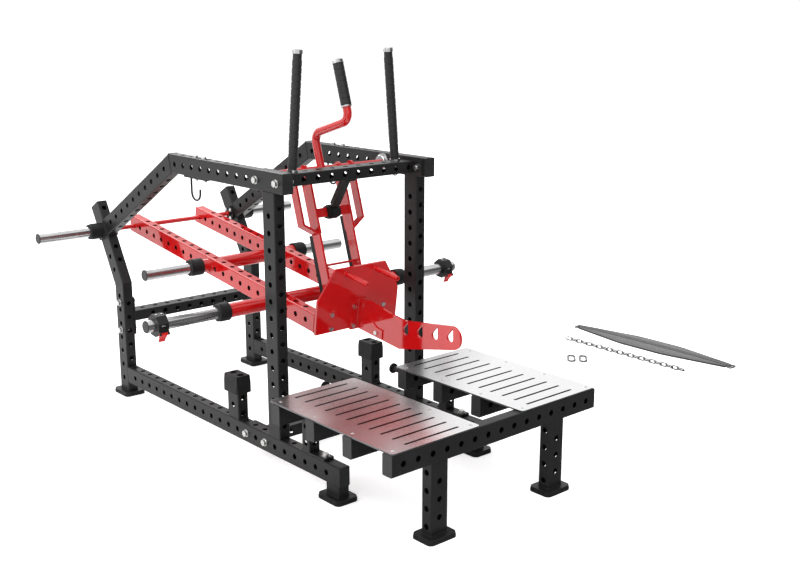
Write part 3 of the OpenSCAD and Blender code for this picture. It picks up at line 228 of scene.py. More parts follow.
def red_gloss(name="red_gloss", painted_shade_inside=False):
    """Deep glossy red lacquer with a slow ripple. Inside the bores of the lever's arm tubes the colour is
    painted near-black and rougher: painted shade in the hollow tubes.
    """
    f = Finish(name, Specular_IOR_Level=0.85)
    ripple = f.noise(45, 2, 0.4)
    peel = f.noise(650, 2, 0.5)
    cloud = f.noise(4, 3, 0.5)
    tone = f.mix(f.spread(cloud, 0.35, 0.65, 0, 1), (0.45, 0.0035, 0.0045), (0.53, 0.0050, 0.0060))
    gloss = f.spread(cloud, 0.3, 0.7, 0.045, 0.085)
    if painted_shade_inside:
        # painted shade: the bore of each arm tube is coloured near-black, where shade falls inside the hollow
        # tube
        bore = arm_bore(f)
        tone = f.mix(bore, tone, (0.020, 0.008, 0.008))
        gloss = f.math("ADD", gloss, f.math("MULTIPLY", bore, 0.6))
    f.colour(tone)
    f.rough(gloss)
    f.bump(f.math("ADD", ripple, f.math("MULTIPLY", peel, 0.08)), 0.05, 0.0007)
    return f.mat


def rolled_stainless():
    """Brushed bright sheet: short grain and a fine speckle that frosts reflections.

    Its colour is painted darker towards the machine's frame and the left, by a ramp over y - 0.6 x: a painted
    reflection of the dark frame.
    The cut edges of the slots, where the surface faces sideways, are dark.
    """
    f = Finish("rolled_stainless", Metallic=1.0)
    grain = f.noise(30, 4, 0.6, (1, 26, 26))
    speckle = f.noise(1500, 2, 0.6)
    cloud = f.noise(5, 3, 0.5)
    brushed = f.spread(f.math("ADD", grain, speckle), 0.75, 1.25, 0, 1)
    sheet = f.mix(brushed, (0.80, 0.80, 0.81), (0.97, 0.97, 0.975))
    # painted reflection: the sheet's colour is mixed towards black along y - 0.6 x, standing for the dark
    # frame mirrored in it
    dark_reflection_ramp = f.math("SUBTRACT", f.axis("Y"), f.math("MULTIPLY", f.axis("X"), 0.6))
    sheet = f.mix(f.spread(dark_reflection_ramp, -0.88, -0.45, 0.0, 0.44), sheet, (0.0, 0.0, 0.0))
    facing = f.node("ShaderNodeSeparateXYZ")
    f.link(f.node("ShaderNodeNewGeometry").outputs["Normal"], facing.inputs[0])
    cut = f.math("LESS_THAN", f.math("ABSOLUTE", facing.outputs["Z"]), 0.5)
    f.colour(f.mix(cut, sheet, (0.16, 0.16, 0.165)))
    f.rough(f.math("ADD", f.spread(speckle, 0.3, 0.7, 0.24, 0.31), f.spread(cloud, 0.3, 0.7, 0.0, 0.03)))
    f.bump(f.math("ADD", f.math("MULTIPLY", grain, 0.1), speckle), 0.06, 0.0002)
    return f.mat


def turned_chrome():
    """Satin chrome on turned tube, with fine rings around X.

    The flange that holds a storage sleeve on the frame is black: there |x| is less than the
    flange's outer face, and y is behind the lever's own sleeves.
    """
    flange_face, behind_lever = 0.3985, 1.0
    f = Finish("turned_chrome", Metallic=1.0)
    rings = f.noise(700, 2, 0.5, (1, 0.02, 0.02))
    cloud = f.noise(9, 3, 0.5)
    inner = f.math("LESS_THAN", f.math("ABSOLUTE", f.axis("X")), flange_face)
    lever = f.math("LESS_THAN", f.axis("Y"), behind_lever)
    flange = f.math("SUBTRACT", inner, f.math("MULTIPLY", inner, lever))
    bright = f.mix(f.spread(cloud, 0.3, 0.7, 0, 1), (0.50, 0.50, 0.505), (0.62, 0.62, 0.625))
    f.colour(f.mix(flange, bright, (0.014, 0.014, 0.015)))
    f.link(f.math("SUBTRACT", 1.0, flange), f.shader.inputs["Metallic"])
    f.rough(f.math("ADD", f.spread(rings, 0.3, 0.7, 0.16, 0.24), f.math("MULTIPLY", flange, 0.2)))
    f.bump(rings, 0.06, 0.0002)
    return f.mat


def zinc_plate():
    """Bright zinc on bolts, nuts and screws, with slight mottling."""
    f = Finish("zinc_plate", Metallic=1.0)
    spots = f.noise(220, 3, 0.6)
    f.colour(f.mix(f.spread(spots, 0.3, 0.7, 0, 1), (0.50, 0.50, 0.49), (0.68, 0.68, 0.67)))
    f.rough(f.spread(spots, 0.3, 0.7, 0.22, 0.36))
    f.bump(spots, 0.08, 0.0003)
    return f.mat


def dark_steel():
    """Dull forged steel of the chain, rings and carabiners, mottled dark and pale."""
    f = Finish("dark_steel", Metallic=1.0)
    scale = f.noise(260, 4, 0.65)
    f.colour(f.mix(f.spread(scale, 0.3, 0.7, 0, 1), (0.16, 0.16, 0.165), (0.34, 0.34, 0.345)))
    f.rough(f.spread(scale, 0.3, 0.7, 0.26, 0.40))
    f.bump(scale, 0.12, 0.0003)
    return f.mat


def latch_red():
    """Latch levers: saturated moulded red with a fine satin grain."""
    f = Finish("latch_red", Specular_IOR_Level=0.3)
    grain = f.noise(1300, 2, 0.5)
    cloud = f.noise(30, 3, 0.5)
    f.colour(f.mix(f.spread(cloud, 0.3, 0.7, 0, 1), (0.50, 0.004, 0.006), (0.60, 0.006, 0.008)))
    f.rough(f.spread(grain, 0.3, 0.7, 0.34, 0.44))
    f.bump(grain, 0.15, 0.0002)
    return f.mat


def moulded_rubber():
    """Matt black rubber with a fine grain and pale scuffs."""
    f = Finish("moulded_rubber", Specular_IOR_Level=0.28)
    grain = f.noise(1400, 3, 0.6)
    scuff = f.noise(28, 5, 0.7)
    f.colour(f.mix(f.spread(scuff, 0.55, 0.8, 0, 1), (0.0065, 0.0065, 0.007), (0.018, 0.018, 0.018)))
    f.rough(f.spread(scuff, 0.3, 0.7, 0.50, 0.64))
    f.bump(grain, 0.35, 0.0003)
    return f.mat


GRIP_RINGS = 0.006


def ringed_rubber(f, rings):
    """Black foam rubber, a little paler on the crown of each ring."""
    return f.mix(f.spread(rings, -1, 1, 0, 1), (0.0075, 0.0075, 0.008), (0.015, 0.015, 0.0155))


def hand_grip():
    """Handle sleeve: firm black foam rubber with closely spaced turned rings up its length."""
    f = Finish("hand_grip", Specular_IOR_Level=0.4, Sheen_Weight=0.05)
    grain = f.noise(1100, 3, 0.6)
    rings = f.wave(f.axis("Z"), GRIP_RINGS)
    f.colour(ringed_rubber(f, rings))
    f.rough(f.spread(grain, 0.3, 0.7, 0.42, 0.55))
    f.bump(f.math("ADD", f.math("MULTIPLY", rings, 0.35), grain), 0.3, 0.0005)
    return f.mat


def crank_sleeve():
    """Crank grip: ringed black rubber between a bright cap at the top and a bright ring at the bottom.

    The height up the leaning grip, from the lockout shaft, is
    (y - LOCK_Y) * sin(lean) + (z - TOP_Z) * cos(lean).
    """
    cap_from, ring_to = 0.3785, 0.2085
    f = Finish("crank_sleeve", Specular_IOR_Level=0.4)
    back = f.math("MULTIPLY", f.math("SUBTRACT", f.axis("Y"), LOCK_Y), math.sin(LOCK_LEAN))
    lift = f.math("MULTIPLY", f.math("SUBTRACT", f.axis("Z"), TOP_Z), math.cos(LOCK_LEAN))
    up = f.math("ADD", back, lift)
    bright = f.math("MAXIMUM", f.math("GREATER_THAN", up, cap_from), f.math("LESS_THAN", up, ring_to))
    grain = f.noise(1100, 3, 0.6)
    rings = f.wave(up, GRIP_RINGS)
    f.colour(f.mix(bright, ringed_rubber(f, rings), (0.60, 0.60, 0.605)))
    f.link(bright, f.shader.inputs["Metallic"])
    f.rough(f.math("SUBTRACT", f.spread(grain, 0.3, 0.7, 0.42, 0.52), f.math("MULTIPLY", bright, 0.30)))
    relief = f.math("ADD", f.math("MULTIPLY", rings, 0.35), grain)
    f.bump(f.math("MULTIPLY", relief, f.math("SUBTRACT", 1.0, bright)), 0.3, 0.0005)
    return f.mat


def moulded_plastic():
    """Black end plugs and caps: fine spark-eroded texture."""
    f = Finish("moulded_plastic", Specular_IOR_Level=0.45)
    grain = f.noise(1600, 2, 0.5)
    cloud = f.noise(14, 3, 0.5)
    f.colour(f.mix(f.spread(cloud, 0.3, 0.7, 0, 1), (0.010, 0.010, 0.0105), (0.016, 0.016, 0.0165)))
    f.rough(f.spread(cloud, 0.3, 0.7, 0.42, 0.52))
    f.bump(grain, 0.25, 0.00025)
    return f.mat


def belt_cloth():
    """Charcoal nylon cloth over foam, with soft shading.

    The plain weave is the product of one ripple along x and one along y, 1.6 mm from thread to thread.
    """
    two_threads = 0.0032
    f = Finish("belt_cloth", Specular_IOR_Level=0.3, Sheen_Weight=0.25, Sheen_Roughness=0.5)
    over = f.math("MULTIPLY", f.wave(f.axis("X"), two_threads), f.wave(f.axis("Y"), two_threads))
    cloud = f.noise(16, 4, 0.6)
    threads = f.mix(f.spread(over, -1, 1, 0, 1), (0.085, 0.085, 0.086), (0.145, 0.145, 0.146))
    f.colour(f.mix(f.spread(cloud, 0.3, 0.75, 0, 0.4), threads, (0.14, 0.14, 0.141)))
    f.rough(f.spread(over, -1, 1, 0.85, 0.70))
    f.bump(over, 0.5, 0.0006)
    return f.mat


def belt_webbing():
    """Dark ribbed webbing: ribs across the strap, 2.2 mm apart."""
    f = Finish("belt_webbing", Specular_IOR_Level=0.35, Sheen_Weight=0.2, Sheen_Roughness=0.4)
    ribs = f.wave(f.axis("Y"), 0.0022)
    fuzz = f.noise(900, 3, 0.6)
    f.colour(f.mix(f.spread(ribs, -1, 1, 0, 1), (0.050, 0.050, 0.051), (0.095, 0.095, 0.096)))
    f.rough(f.spread(fuzz, 0.3, 0.7, 0.6, 0.78))
    f.bump(f.math("ADD", ribs, fuzz), 0.4, 0.0005)
    return f.mat


def belt_binding_tape():
    """Black woven tape round the belt's edge: a fine diagonal twill, a ripple over x + y + z."""
    f = Finish("belt_binding_tape", Specular_IOR_Level=0.3, Sheen_Weight=0.15, Sheen_Roughness=0.4)
    slant = f.math("ADD", f.axis("Y"), f.math("ADD", f.axis("X"), f.axis("Z")))
    twill = f.wave(slant, 0.0018)
    fuzz = f.noise(900, 3, 0.6)
    f.colour(f.mix(f.spread(twill, -1, 1, 0, 1), (0.010, 0.010, 0.0105), (0.024, 0.024, 0.025)))
    f.rough(f.spread(fuzz, 0.3, 0.7, 0.6, 0.78))
    f.bump(f.math("ADD", twill, fuzz), 0.35, 0.0004)
    return f.mat


def sewing_thread():
    """Grey thread with a slight twist."""
    f = Finish("sewing_thread", Specular_IOR_Level=0.3, Sheen_Weight=0.2)
    twist = f.noise(1500, 2, 0.5)
    f.colour(f.mix(twist, (0.05, 0.05, 0.05), (0.11, 0.11, 0.11)))
    f.rough(f.spread(twist, 0.3, 0.7, 0.6, 0.75))
    f.bump(twist, 0.3, 0.0003)
    return f.mat


def studio_floor():
    """Pale even floor that glows a little to the camera, so that shadows on it stay faint.

    Mirrored in the machine it is painted dark towards the front right, by a ramp over 0.6 x - 0.8 y: painted
    shade, standing for a studio's dim far side.
    """
    glow = 0.48
    f = Finish("studio_floor", Specular_IOR_Level=0.1)
    cloud = f.noise(0.8, 2, 0.5)
    pale = f.mix(cloud, (0.93, 0.93, 0.93), (0.95, 0.95, 0.95))
    across = f.math("SUBTRACT", f.math("MULTIPLY", f.axis("X"), 0.6), f.math("MULTIPLY", f.axis("Y"), 0.8))
    # painted shade: for glossy rays the floor's colour is mixed towards near-black at the front right
    far = f.spread(across, -0.4, 1.3, 0.0, 0.85)
    mirrored = f.node("ShaderNodeLightPath").outputs["Is Glossy Ray"]
    f.colour(f.mix(f.math("MULTIPLY", far, mirrored), pale, (0.05, 0.05, 0.05)))
    f.rough(f.spread(cloud, 0.3, 0.7, 0.85, 0.9))
    seen = f.node("ShaderNodeLightPath").outputs["Is Camera Ray"]
    f.shader.inputs["Emission Color"].default_value = (1.0, 1.0, 1.0, 1.0)
    f.link(f.math("MULTIPLY", seen, glow), f.shader.inputs["Emission Strength"])
    return f.mat


FINISHES = {
    "black_paint": black_powder_coat(),
    "red_paint": red_gloss(),
    "bright_steel": rolled_stainless(),
    "chrome": turned_chrome(),
    "zinc": zinc_plate(),
    "black_rubber": moulded_rubber(),
    "black_plastic": moulded_plastic(),
    "black_fabric": belt_cloth(),
}
STEEL = dark_steel()
LATCH = latch_red()
OWN_FINISHES = {
    "handle_posts": hand_grip(),
    "crank_grip": crank_sleeve(),
    "lever_arms": red_gloss("red_gloss_painted_shade_inside", painted_shade_inside=True),
    "clamp_latch_left": LATCH,
    "clamp_latch_right": LATCH,
    "chain": STEEL,
    "belt_rings": STEEL,
    "carabiners": STEEL,
    "carabiner_gate_1": STEEL,
    "carabiner_gate_2": STEEL,
}
WEBBING = belt_webbing()
BINDING = belt_binding_tape()
THREAD = sewing_thread()


def dress_nodes():
    """Every node of the frame gets its own finish, or else the one that its slot names."""
    for part in frame["record"]["subparts"]:
        node = part["node"]
        finish = OWN_FINISHES.get(node) or FINISHES[part["material_slot"]]
        materials = frame["nodes"][node].data.materials
        materials.clear()
        materials.append(finish)


dress_nodes()


# mesh helpers

def unit(v):
    """Vectors of length one, along the last axis."""
    v = np.asarray(v, float)
    return v / np.linalg.norm(v, axis=-1, keepdims=True)


def new_piece(name, points, faces, outwards=True, smooth=True):
    """A mesh object from points (n, 3) and faces, which are turned to face outwards where asked."""
    mesh = bpy.data.meshes.new(name)
    mesh.from_pydata(points.reshape(-1, 3).tolist(), [], faces)
    mesh.update()
    if outwards:
        bm = bmesh.new()
        bm.from_mesh(mesh)
        bmesh.ops.recalc_face_normals(bm, faces=bm.faces)
        bm.to_mesh(mesh)
        bm.free()
    mesh.polygons.foreach_set("use_smooth", np.full(len(mesh.polygons), smooth))
    obj = bpy.data.objects.new(name, mesh)
    bpy.context.scene.collection.objects.link(obj)
    return obj


def surface(name, points, closed_u=False, closed_v=False, caps=False, smooth=True):
    """A grid of points (nu, nv, 3) becomes a mesh of quads; closed directions wrap round.

    With caps, the first and last rows along u are closed by one face each.
    """
    nu, nv = points.shape[:2]
    ids = np.arange(nu * nv).reshape(nu, nv)
    if closed_u:
        ids = np.vstack([ids, ids[:1]])
    if closed_v:
        ids = np.hstack([ids, ids[:, :1]])
    quads = np.stack([ids[:-1, :-1], ids[1:, :-1], ids[1:, 1:], ids[:-1, 1:]], axis=-1).reshape(-1, 4)
    faces = quads.tolist()
    if caps:
        faces += [list(range(nv)), list(range((nu - 1) * nv, nu * nv))[::-1]]
    return new_piece(name, points, faces, smooth=smooth)


def join(name, objs):
    """Several meshes become one piece."""
    points, faces, start = [], [], 0
    for obj in objs:
        mesh = obj.data
        co = np.empty(len(mesh.vertices) * 3)
        mesh.vertices.foreach_get("co", co)
        points.append(co.reshape(-1, 3))
        faces += [[start + i for i in p.vertices] for p in mesh.polygons]
        start += len(mesh.vertices)
        bpy.data.objects.remove(obj)
    return new_piece(name, np.vstack(points), faces, outwards=False)


def finish_piece(obj, material, body):
    """The piece gets its material and moves with a body."""
    obj.data.materials.append(material)
    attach(obj, body)


def square_to(axis):
    """Two unit vectors square to an axis and to each other."""
    p = unit(np.cross(axis, UPWARDS if abs(axis[2]) < 0.9 else ALONG))
    return p, np.cross(axis, p)


def running_length(path):
    """The distance along a path (n, 3) at each of its points."""
    return np.concatenate([[0], np.cumsum(np.linalg.norm(np.diff(path, axis=0), axis=1))])


def at_run(at, run, path):
    """Points of a path at the given running lengths."""
    return np.stack([np.interp(at, run, path[:, k]) for k in range(3)], axis=1)


def sweep(path, profile, closed=False):
    """A profile (nv, 2) carried along a path (nu, 3): path + profile[0] * side + profile[1] * lift.

    At each point side is level and square to the path, and lift is square to both.
    """
    ahead = np.roll(path, -1, axis=0) - np.roll(path, 1, axis=0)
    if not closed:
        ahead[0] = path[1] - path[0]
        ahead[-1] = path[-1] - path[-2]
    ahead = unit(ahead)
    hint = np.tile(UPWARDS, (len(path), 1))
    hint[np.abs(ahead[:, 2]) > 0.98] = ALONG
    side = unit(np.cross(ahead, hint))
    lift = np.cross(side, ahead)
    return path[:, None] + profile[None, :, :1] * side[:, None] + profile[None, :, 1:] * lift[:, None]


def ring_profile(width, height, count=12):
    """An ellipse of count points: (width / 2 * cos t, height / 2 * sin t)."""
    t = np.linspace(0, 2 * math.pi, count, endpoint=False)
    return np.stack([width / 2 * np.cos(t), height / 2 * np.sin(t)], axis=1)


# weld beads

# a bead's middle line lies this far off the face that it is welded to
BEAD_LIFT = 0.0008


def bead(path, normal, size=0.0048, step=0.0014, ripple=0.0042):
    """A closed weld bead along a flat path: a round bead whose radius swells once every ripple.

    radius = size / 2 * (0.88 + 0.20 * |sin(pi * run / ripple)| + 0.05 * sin(2 pi * run / (3 * ripple))),
    so that every third swell is a little larger.
    """
    loop = np.vstack([path, path[:1]])
    length = running_length(loop)
    run = np.linspace(0, length[-1], max(12, int(length[-1] / step)), endpoint=False)
    path = at_run(run, length, loop)
    ahead = unit(np.roll(path, -1, axis=0) - np.roll(path, 1, axis=0))
    normal = unit(normal)
    across = np.cross(normal, ahead)
    swell = 0.20 * np.abs(np.sin(np.pi * run / ripple)) + 0.05 * np.sin(2 * np.pi * run / (3 * ripple))
    radius = size / 2 * (0.88 + swell)
    t = np.linspace(0, 2 * np.pi, 8, endpoint=False)
    ring = np.cos(t)[None, :, None] * normal + np.sin(t)[None, :, None] * across[:, None]
    points = path[:, None] + radius[:, None, None] * ring
    return surface("bead", points, closed_u=True, closed_v=True)


def hoop(centre, radius, axis=ACROSS):
    """A circle round an axis: centre + radius * (cos t * p + sin t * q), with p and q square to the axis."""
    p, q = square_to(axis)
    t = np.linspace(0, 2 * np.pi, 120, endpoint=False)[:, None]
    return np.asarray(centre, float) + radius * (np.cos(t) * p + np.sin(t) * q)


def tube_line(centre, p, q, width, depth, round_r=TUBE_R):
    """The outline of a tube with round corners, width along p and depth along q.

    Each corner is a quarter circle of round_r about a point set in by round_r from both sides.
    """
    centre, p, q = (np.asarray(v, float) for v in (centre, p, q))
    turn = np.linspace(0, np.pi / 2, 7)
    out = []
    for k, (sp, sq) in enumerate(((1, 1), (-1, 1), (-1, -1), (1, -1))):
        a = turn + k * np.pi / 2
        u = sp * (width / 2 - round_r) + round_r * np.cos(a)
        v = sq * (depth / 2 - round_r) + round_r * np.sin(a)
        out.append(centre + u[:, None] * p + v[:, None] * q)
    return np.vstack(out)


def foot_bead(x, y, z, width, depth):
    """The bead round the foot of an upright tube that stands on height z."""
    return bead(tube_line((x, y, z + BEAD_LIFT), ACROSS, ALONG, width, depth), UPWARDS)


def on_lever(x, along, rise):
    """A point of the lever at rest: along the arms towards the front, and above them."""
    c, s = math.cos(ARM_SLOPE), math.sin(ARM_SLOPE)
    return np.array((x, PIVOT_Y - along * c - rise * s, PIVOT_Z - along * s + rise * c))


def on_lockout(x, out, up):
    """A point of the lockout at rest, from its shaft."""
    c, s = math.cos(LOCK_LEAN), math.sin(LOCK_LEAN)
    return np.array((x, LOCK_Y + out * c + up * s, TOP_Z - out * s + up * c))


def frame_welds():
    """Black beads: feet, bumper posts, the mitres of posts and rails, the slanting tubes' ends, the pivot."""
    mitre_size, hub_size, hub_x, hub_r = 0.0036, 0.003, 0.3995, 0.0365
    half = POST_SLANT / 2
    # at a mitre the tube's outline is longer, square to the plane that halves the bend
    mitre_d = TUBE_D / math.cos(half)
    rise = (0, math.sin(half), math.cos(half))
    fall = (0, math.cos(half), -math.sin(half))
    down_slant = (0, math.cos(POST_SLANT), -math.sin(POST_SLANT))
    off_slant = (0, math.sin(POST_SLANT), math.cos(POST_SLANT))
    beads = []
    for side in (-1, 1):
        x = side * SIDE_X
        beads.append(foot_bead(x, FOOT_Y, FOOT_TOP, TUBE_W, TUBE_D))
        beads.append(foot_bead(x, POST_Y, FOOT_TOP, TUBE_W, TUBE_D))
        beads.append(foot_bead(side * LEG_X, LEG_Y, FOOT_TOP, TUBE_D, TUBE_W))
        beads.append(foot_bead(x, BUMPER_Y, BASE_TOP, TUBE_W, TUBE_D))
        beads.append(bead(tube_line((x, KNEE_Y, TOP_Z), ACROSS, rise, TUBE_W, mitre_d), fall, mitre_size))
        beads.append(bead(tube_line((x, POST_Y, BEND_Z), ACROSS, fall, TUBE_W, mitre_d), rise, mitre_size))
        end = np.array((x, PIVOT_Y, PIVOT_Z)) - (TUBE_D / 2 + BEAD_LIFT) * np.array(down_slant)
        beads.append(bead(tube_line(end, ACROSS, off_slant, TUBE_W, TUBE_D), down_slant))
        beads.append(bead(hoop((side * hub_x, PIVOT_Y, PIVOT_Z), hub_r), ACROSS, hub_size))
    finish_piece(join("frame_welds", beads), FINISHES["black_paint"], "frame")


def lever_welds():
    """Red beads of the lever: carrier tubes in the arms, arm ends, plate pegs, the tongue's foot."""
    carrier_r, inner_face, outer_face = 0.0308, 0.1605, 0.2105
    arm_end = 1.4572
    peg_x, peg_along, peg_rise, peg_r = 0.078, 1.4768, 0.197, 0.0104
    tongue_along, tongue_rise, tongue_t, tongue_d, tongue_r = 1.4848, 0.0175, 0.010, 0.122, 0.001
    ahead = (0, -math.cos(ARM_SLOPE), -math.sin(ARM_SLOPE))
    lift = (0, -math.sin(ARM_SLOPE), math.cos(ARM_SLOPE))
    beads = []
    for side in (-1, 1):
        for along in (FRONT_ALONG, MIDDLE_ALONG):
            for face in (inner_face, outer_face):
                beads.append(bead(hoop(on_lever(side * face, along, CARRIER_RISE), carrier_r), ACROSS))
        arm = tube_line(on_lever(side * ARM_X, arm_end, 0.0), ACROSS, lift, TUBE_W, TUBE_D)
        beads.append(bead(arm, ahead))
        peg = hoop(on_lever(side * peg_x, peg_along, peg_rise), peg_r, ahead)
        beads.append(bead(peg, ahead, size=0.0036, ripple=0.003))
    foot = tube_line(on_lever(0, tongue_along, tongue_rise), ACROSS, lift, tongue_t, tongue_d, tongue_r)
    beads.append(bead(foot, ahead, size=0.004, ripple=0.0034))
    finish_piece(join("lever_welds", beads), FINISHES["red_paint"], "lever")


def lockout_welds():
    """Red beads where the crossbar meets the lockout's inner bars."""
    bar_face, bar_out, bar_up = 0.0874, -0.012, -0.183
    bar_w, bar_d, bar_r = 0.020, 0.038, 0.003
    out = on_lockout(0, 1, 0) - on_lockout(0, 0, 0)
    up = on_lockout(0, 0, 1) - on_lockout(0, 0, 0)
    beads = []
    for side in (-1, 1):
        line = tube_line(on_lockout(side * bar_face, bar_out, bar_up), out, up, bar_w, bar_d, bar_r)
        beads.append(bead(line, ACROSS, size=0.004, ripple=0.0034))
    finish_piece(join("lockout_welds", beads), FINISHES["red_paint"], "lockout")


frame_welds()
lever_welds()
lockout_welds()


# trim of the locking collars

def capsule(centre, axis, radius, length):
    """A pin with domed ends round an axis.

    A point is centre + u * length / 2 * axis + r * (cos t * p + sin t * q), where u runs from -1 to 1,
    r = radius * (1 - |u| ** 8) ** 0.5, and p and q are square to the axis.
    """
    axis = unit(axis)
    p, q = square_to(axis)
    u = np.sin(np.linspace(-np.pi / 2, np.pi / 2, 21))[:, None]
    r = radius * np.sqrt(np.clip(1 - np.abs(u) ** 8, 0.01, 1))
    t = np.linspace(0, 2 * np.pi, 20, endpoint=False)[None, :]
    ring = np.cos(t)[..., None] * p + np.sin(t)[..., None] * q
    points = np.asarray(centre, float) + (u * length / 2)[..., None] * axis + r[..., None] * ring
    return surface("capsule", points, closed_v=True, caps=True)


def clamp_trim():
    """Each locking collar: a bright spring pin in its front recess and two cap screws in its top face."""
    pin_r, pin_l, pin_sunk, pin_rise = 0.0036, 0.0185, 0.004, 0.013
    screw_r, screw_l, screw_x, screw_proud = 0.0042, 0.005, 0.012, 0.0004
    up = on_lever(0, 0, 1) - on_lever(0, 0, 0)
    for side, name in ((-1, "left"), (1, "right")):
        x = side * CLAMP_X
        pin = capsule(on_lever(x, FRONT_ALONG + CLAMP_D / 2 - pin_sunk, pin_rise), ACROSS, pin_r, pin_l)
        finish_piece(pin, FINISHES["zinc"], f"clamp_{name}")
        pin.name = f"clamp_pin_{name}"
        screws = []
        for dx in (-screw_x, screw_x):
            seat = on_lever(x + dx, FRONT_ALONG, CARRIER_RISE + CLAMP_D / 2 + screw_proud)
            screws.append(capsule(seat, up, screw_r, screw_l))
        screws = join(f"clamp_screws_{name}", screws)
        finish_piece(screws, FINISHES["zinc"], f"clamp_{name}")


clamp_trim()


# the sewn belt

# the sewn lines beside the edges, as a share of the half width
EDGE_ROW = 0.80
# the cloth lies this far inside the belt's outline, and this far under its crown
CLOTH_INSET, CLOTH_SUNK = 0.0012, 0.0006


def belt_half_width(s):
    """Half width along the belt: two straight tapers from narrow ends to a long, nearly straight middle.

    Share of the full half width = the smooth lesser of 0.30 + 1.88 * d and 0.935 + 0.04 * sin(pi * s),
    where d is the distance from the nearer end as a share of the length.
    """
    taper = 0.30 + 1.88 * np.minimum(s, 1 - s)
    middle = 0.935 + 0.04 * np.sin(np.pi * np.clip(s, 0, 1))
    return BELT_W / 2 * (taper + middle - np.sqrt((taper - middle) ** 2 + 0.0006)) / 2


def belt_height(s, v):
    """Top of the pad: a crown that rounds down at its edges and thins towards the ends.

    The thickness times 0.45 + 0.55 * (1 - |v| ** 3) ** 0.5 across and 0.55 + 0.45 * sin(pi * s) ** 0.5 along.
    """
    crown = BELT_T * (0.45 + 0.55 * np.sqrt(np.clip(1 - np.abs(v) ** 3, 0, 1)))
    return crown * (0.55 + 0.45 * np.sqrt(np.sin(np.pi * np.clip(s, 0.02, 0.98))))


def belt_y(s):
    """The place along Y of a share s of the belt's length."""
    return BELT_Y + (s - 0.5) * BELT_L


def belt_pad():
    """Closed pad: around each cross-section t runs over the crown, round the edge and back below.

    Across, x = half width * cos t. The top is the crown, less a shallow channel along each sewn line
    (a bell curve) and under the strap, plus slow ripples of the foam, sin(46 s + 2.2 cos t).
    Top and bottom both close towards the seam's height by the share |sin t| ** 0.5.
    """
    nu, nv = 220, 72
    seam_z, low_depth = 0.003, 0.0026
    channel_depth, channel_w = 0.0016, 0.0030
    strap_depth, strap_w = 0.0008, 0.016
    ripple_h = 0.0005
    s = np.linspace(0.004, 0.996, nu)[:, None]
    t = np.linspace(0, 2 * np.pi, nv, endpoint=False)[None, :]
    v = np.cos(t)
    half = belt_half_width(s) - CLOTH_INSET
    height = belt_height(s, v) - CLOTH_SUNK
    lines = sum(np.exp(-((v - row) * half / channel_w) ** 2) for row in (-EDGE_ROW, EDGE_ROW))
    strap = np.exp(-(v * half / strap_w) ** 8)
    ripple = ripple_h * np.sin(s * 46 + 2.2 * v) * (1 - strap) * (1 - v ** 2)
    z_top = np.maximum(height - channel_depth * lines - strap_depth * strap + ripple, seam_z)
    edge = np.abs(np.sin(t)) ** 0.5
    points = np.empty((nu, nv, 3))
    points[..., 0] = BELT_X + half * v
    points[..., 1] = belt_y(s)
    points[..., 2] = np.where(np.sin(t) >= 0, seam_z + (z_top - seam_z) * edge, seam_z - low_depth * edge)
    return surface("belt_pad", points, closed_v=True, caps=True)


def belt_binding():
    """Bound edge: a flattened tube, an ellipse carried along the belt's outline."""
    inset, middle_z, tape_w, tape_h = 0.0016, 0.0042, 0.0046, 0.0078
    s = np.linspace(0.006, 0.994, 160)
    half = belt_half_width(s) - inset
    z = np.full_like(s, middle_z)
    right = np.stack([BELT_X + half, belt_y(s), z], axis=1)
    left = np.stack([BELT_X - half, belt_y(s), z], axis=1)
    tape = sweep(np.vstack([right, left[::-1]]), ring_profile(tape_w, tape_h), closed=True)
    return surface("belt_binding", tape, closed_u=True, closed_v=True)


def strap_height(y):
    """Height of the pad's crown under the strap, held level past each end."""
    s = np.clip((y - BELT_Y) / BELT_L + 0.5, 0.004, 0.996)
    return belt_height(s, np.zeros_like(s)) - CLOTH_SUNK


def belt_strap():
    """Flat webbing along the middle of the pad, that wraps over the bar of each ring.

    Past each end it follows a circle about the bar, from 118 degrees down to 62 below level.
    """
    half_w, half_t = 0.01715, 0.0009
    bar_y, bar_z, wrap_r = BELT_L / 2 + 0.0043, 0.0042, 0.0052
    flat_to, over_cloth, over_floor = BELT_L / 2 - 0.002, 0.0007, 0.0012
    y_flat = np.linspace(-flat_to, flat_to, 120)
    z_flat = strap_height(BELT_Y + y_flat) + over_cloth
    turn = np.linspace(math.radians(118), math.radians(-62), 16)
    over_y = bar_y + wrap_r * np.cos(turn)
    over_z = bar_z + wrap_r * np.sin(turn)
    y = np.concatenate([-over_y[::-1], y_flat, over_y])
    z = np.maximum(np.concatenate([over_z[::-1], z_flat, over_z]), over_floor)
    path = np.stack([np.full_like(y, BELT_X), BELT_Y + y, z], axis=1)
    edge = np.array([(-1, -1), (1, -1), (1, 1), (-1, 1)]) * (half_w, half_t)
    return surface("belt_strap", sweep(path, edge), closed_v=True, caps=True, smooth=False)


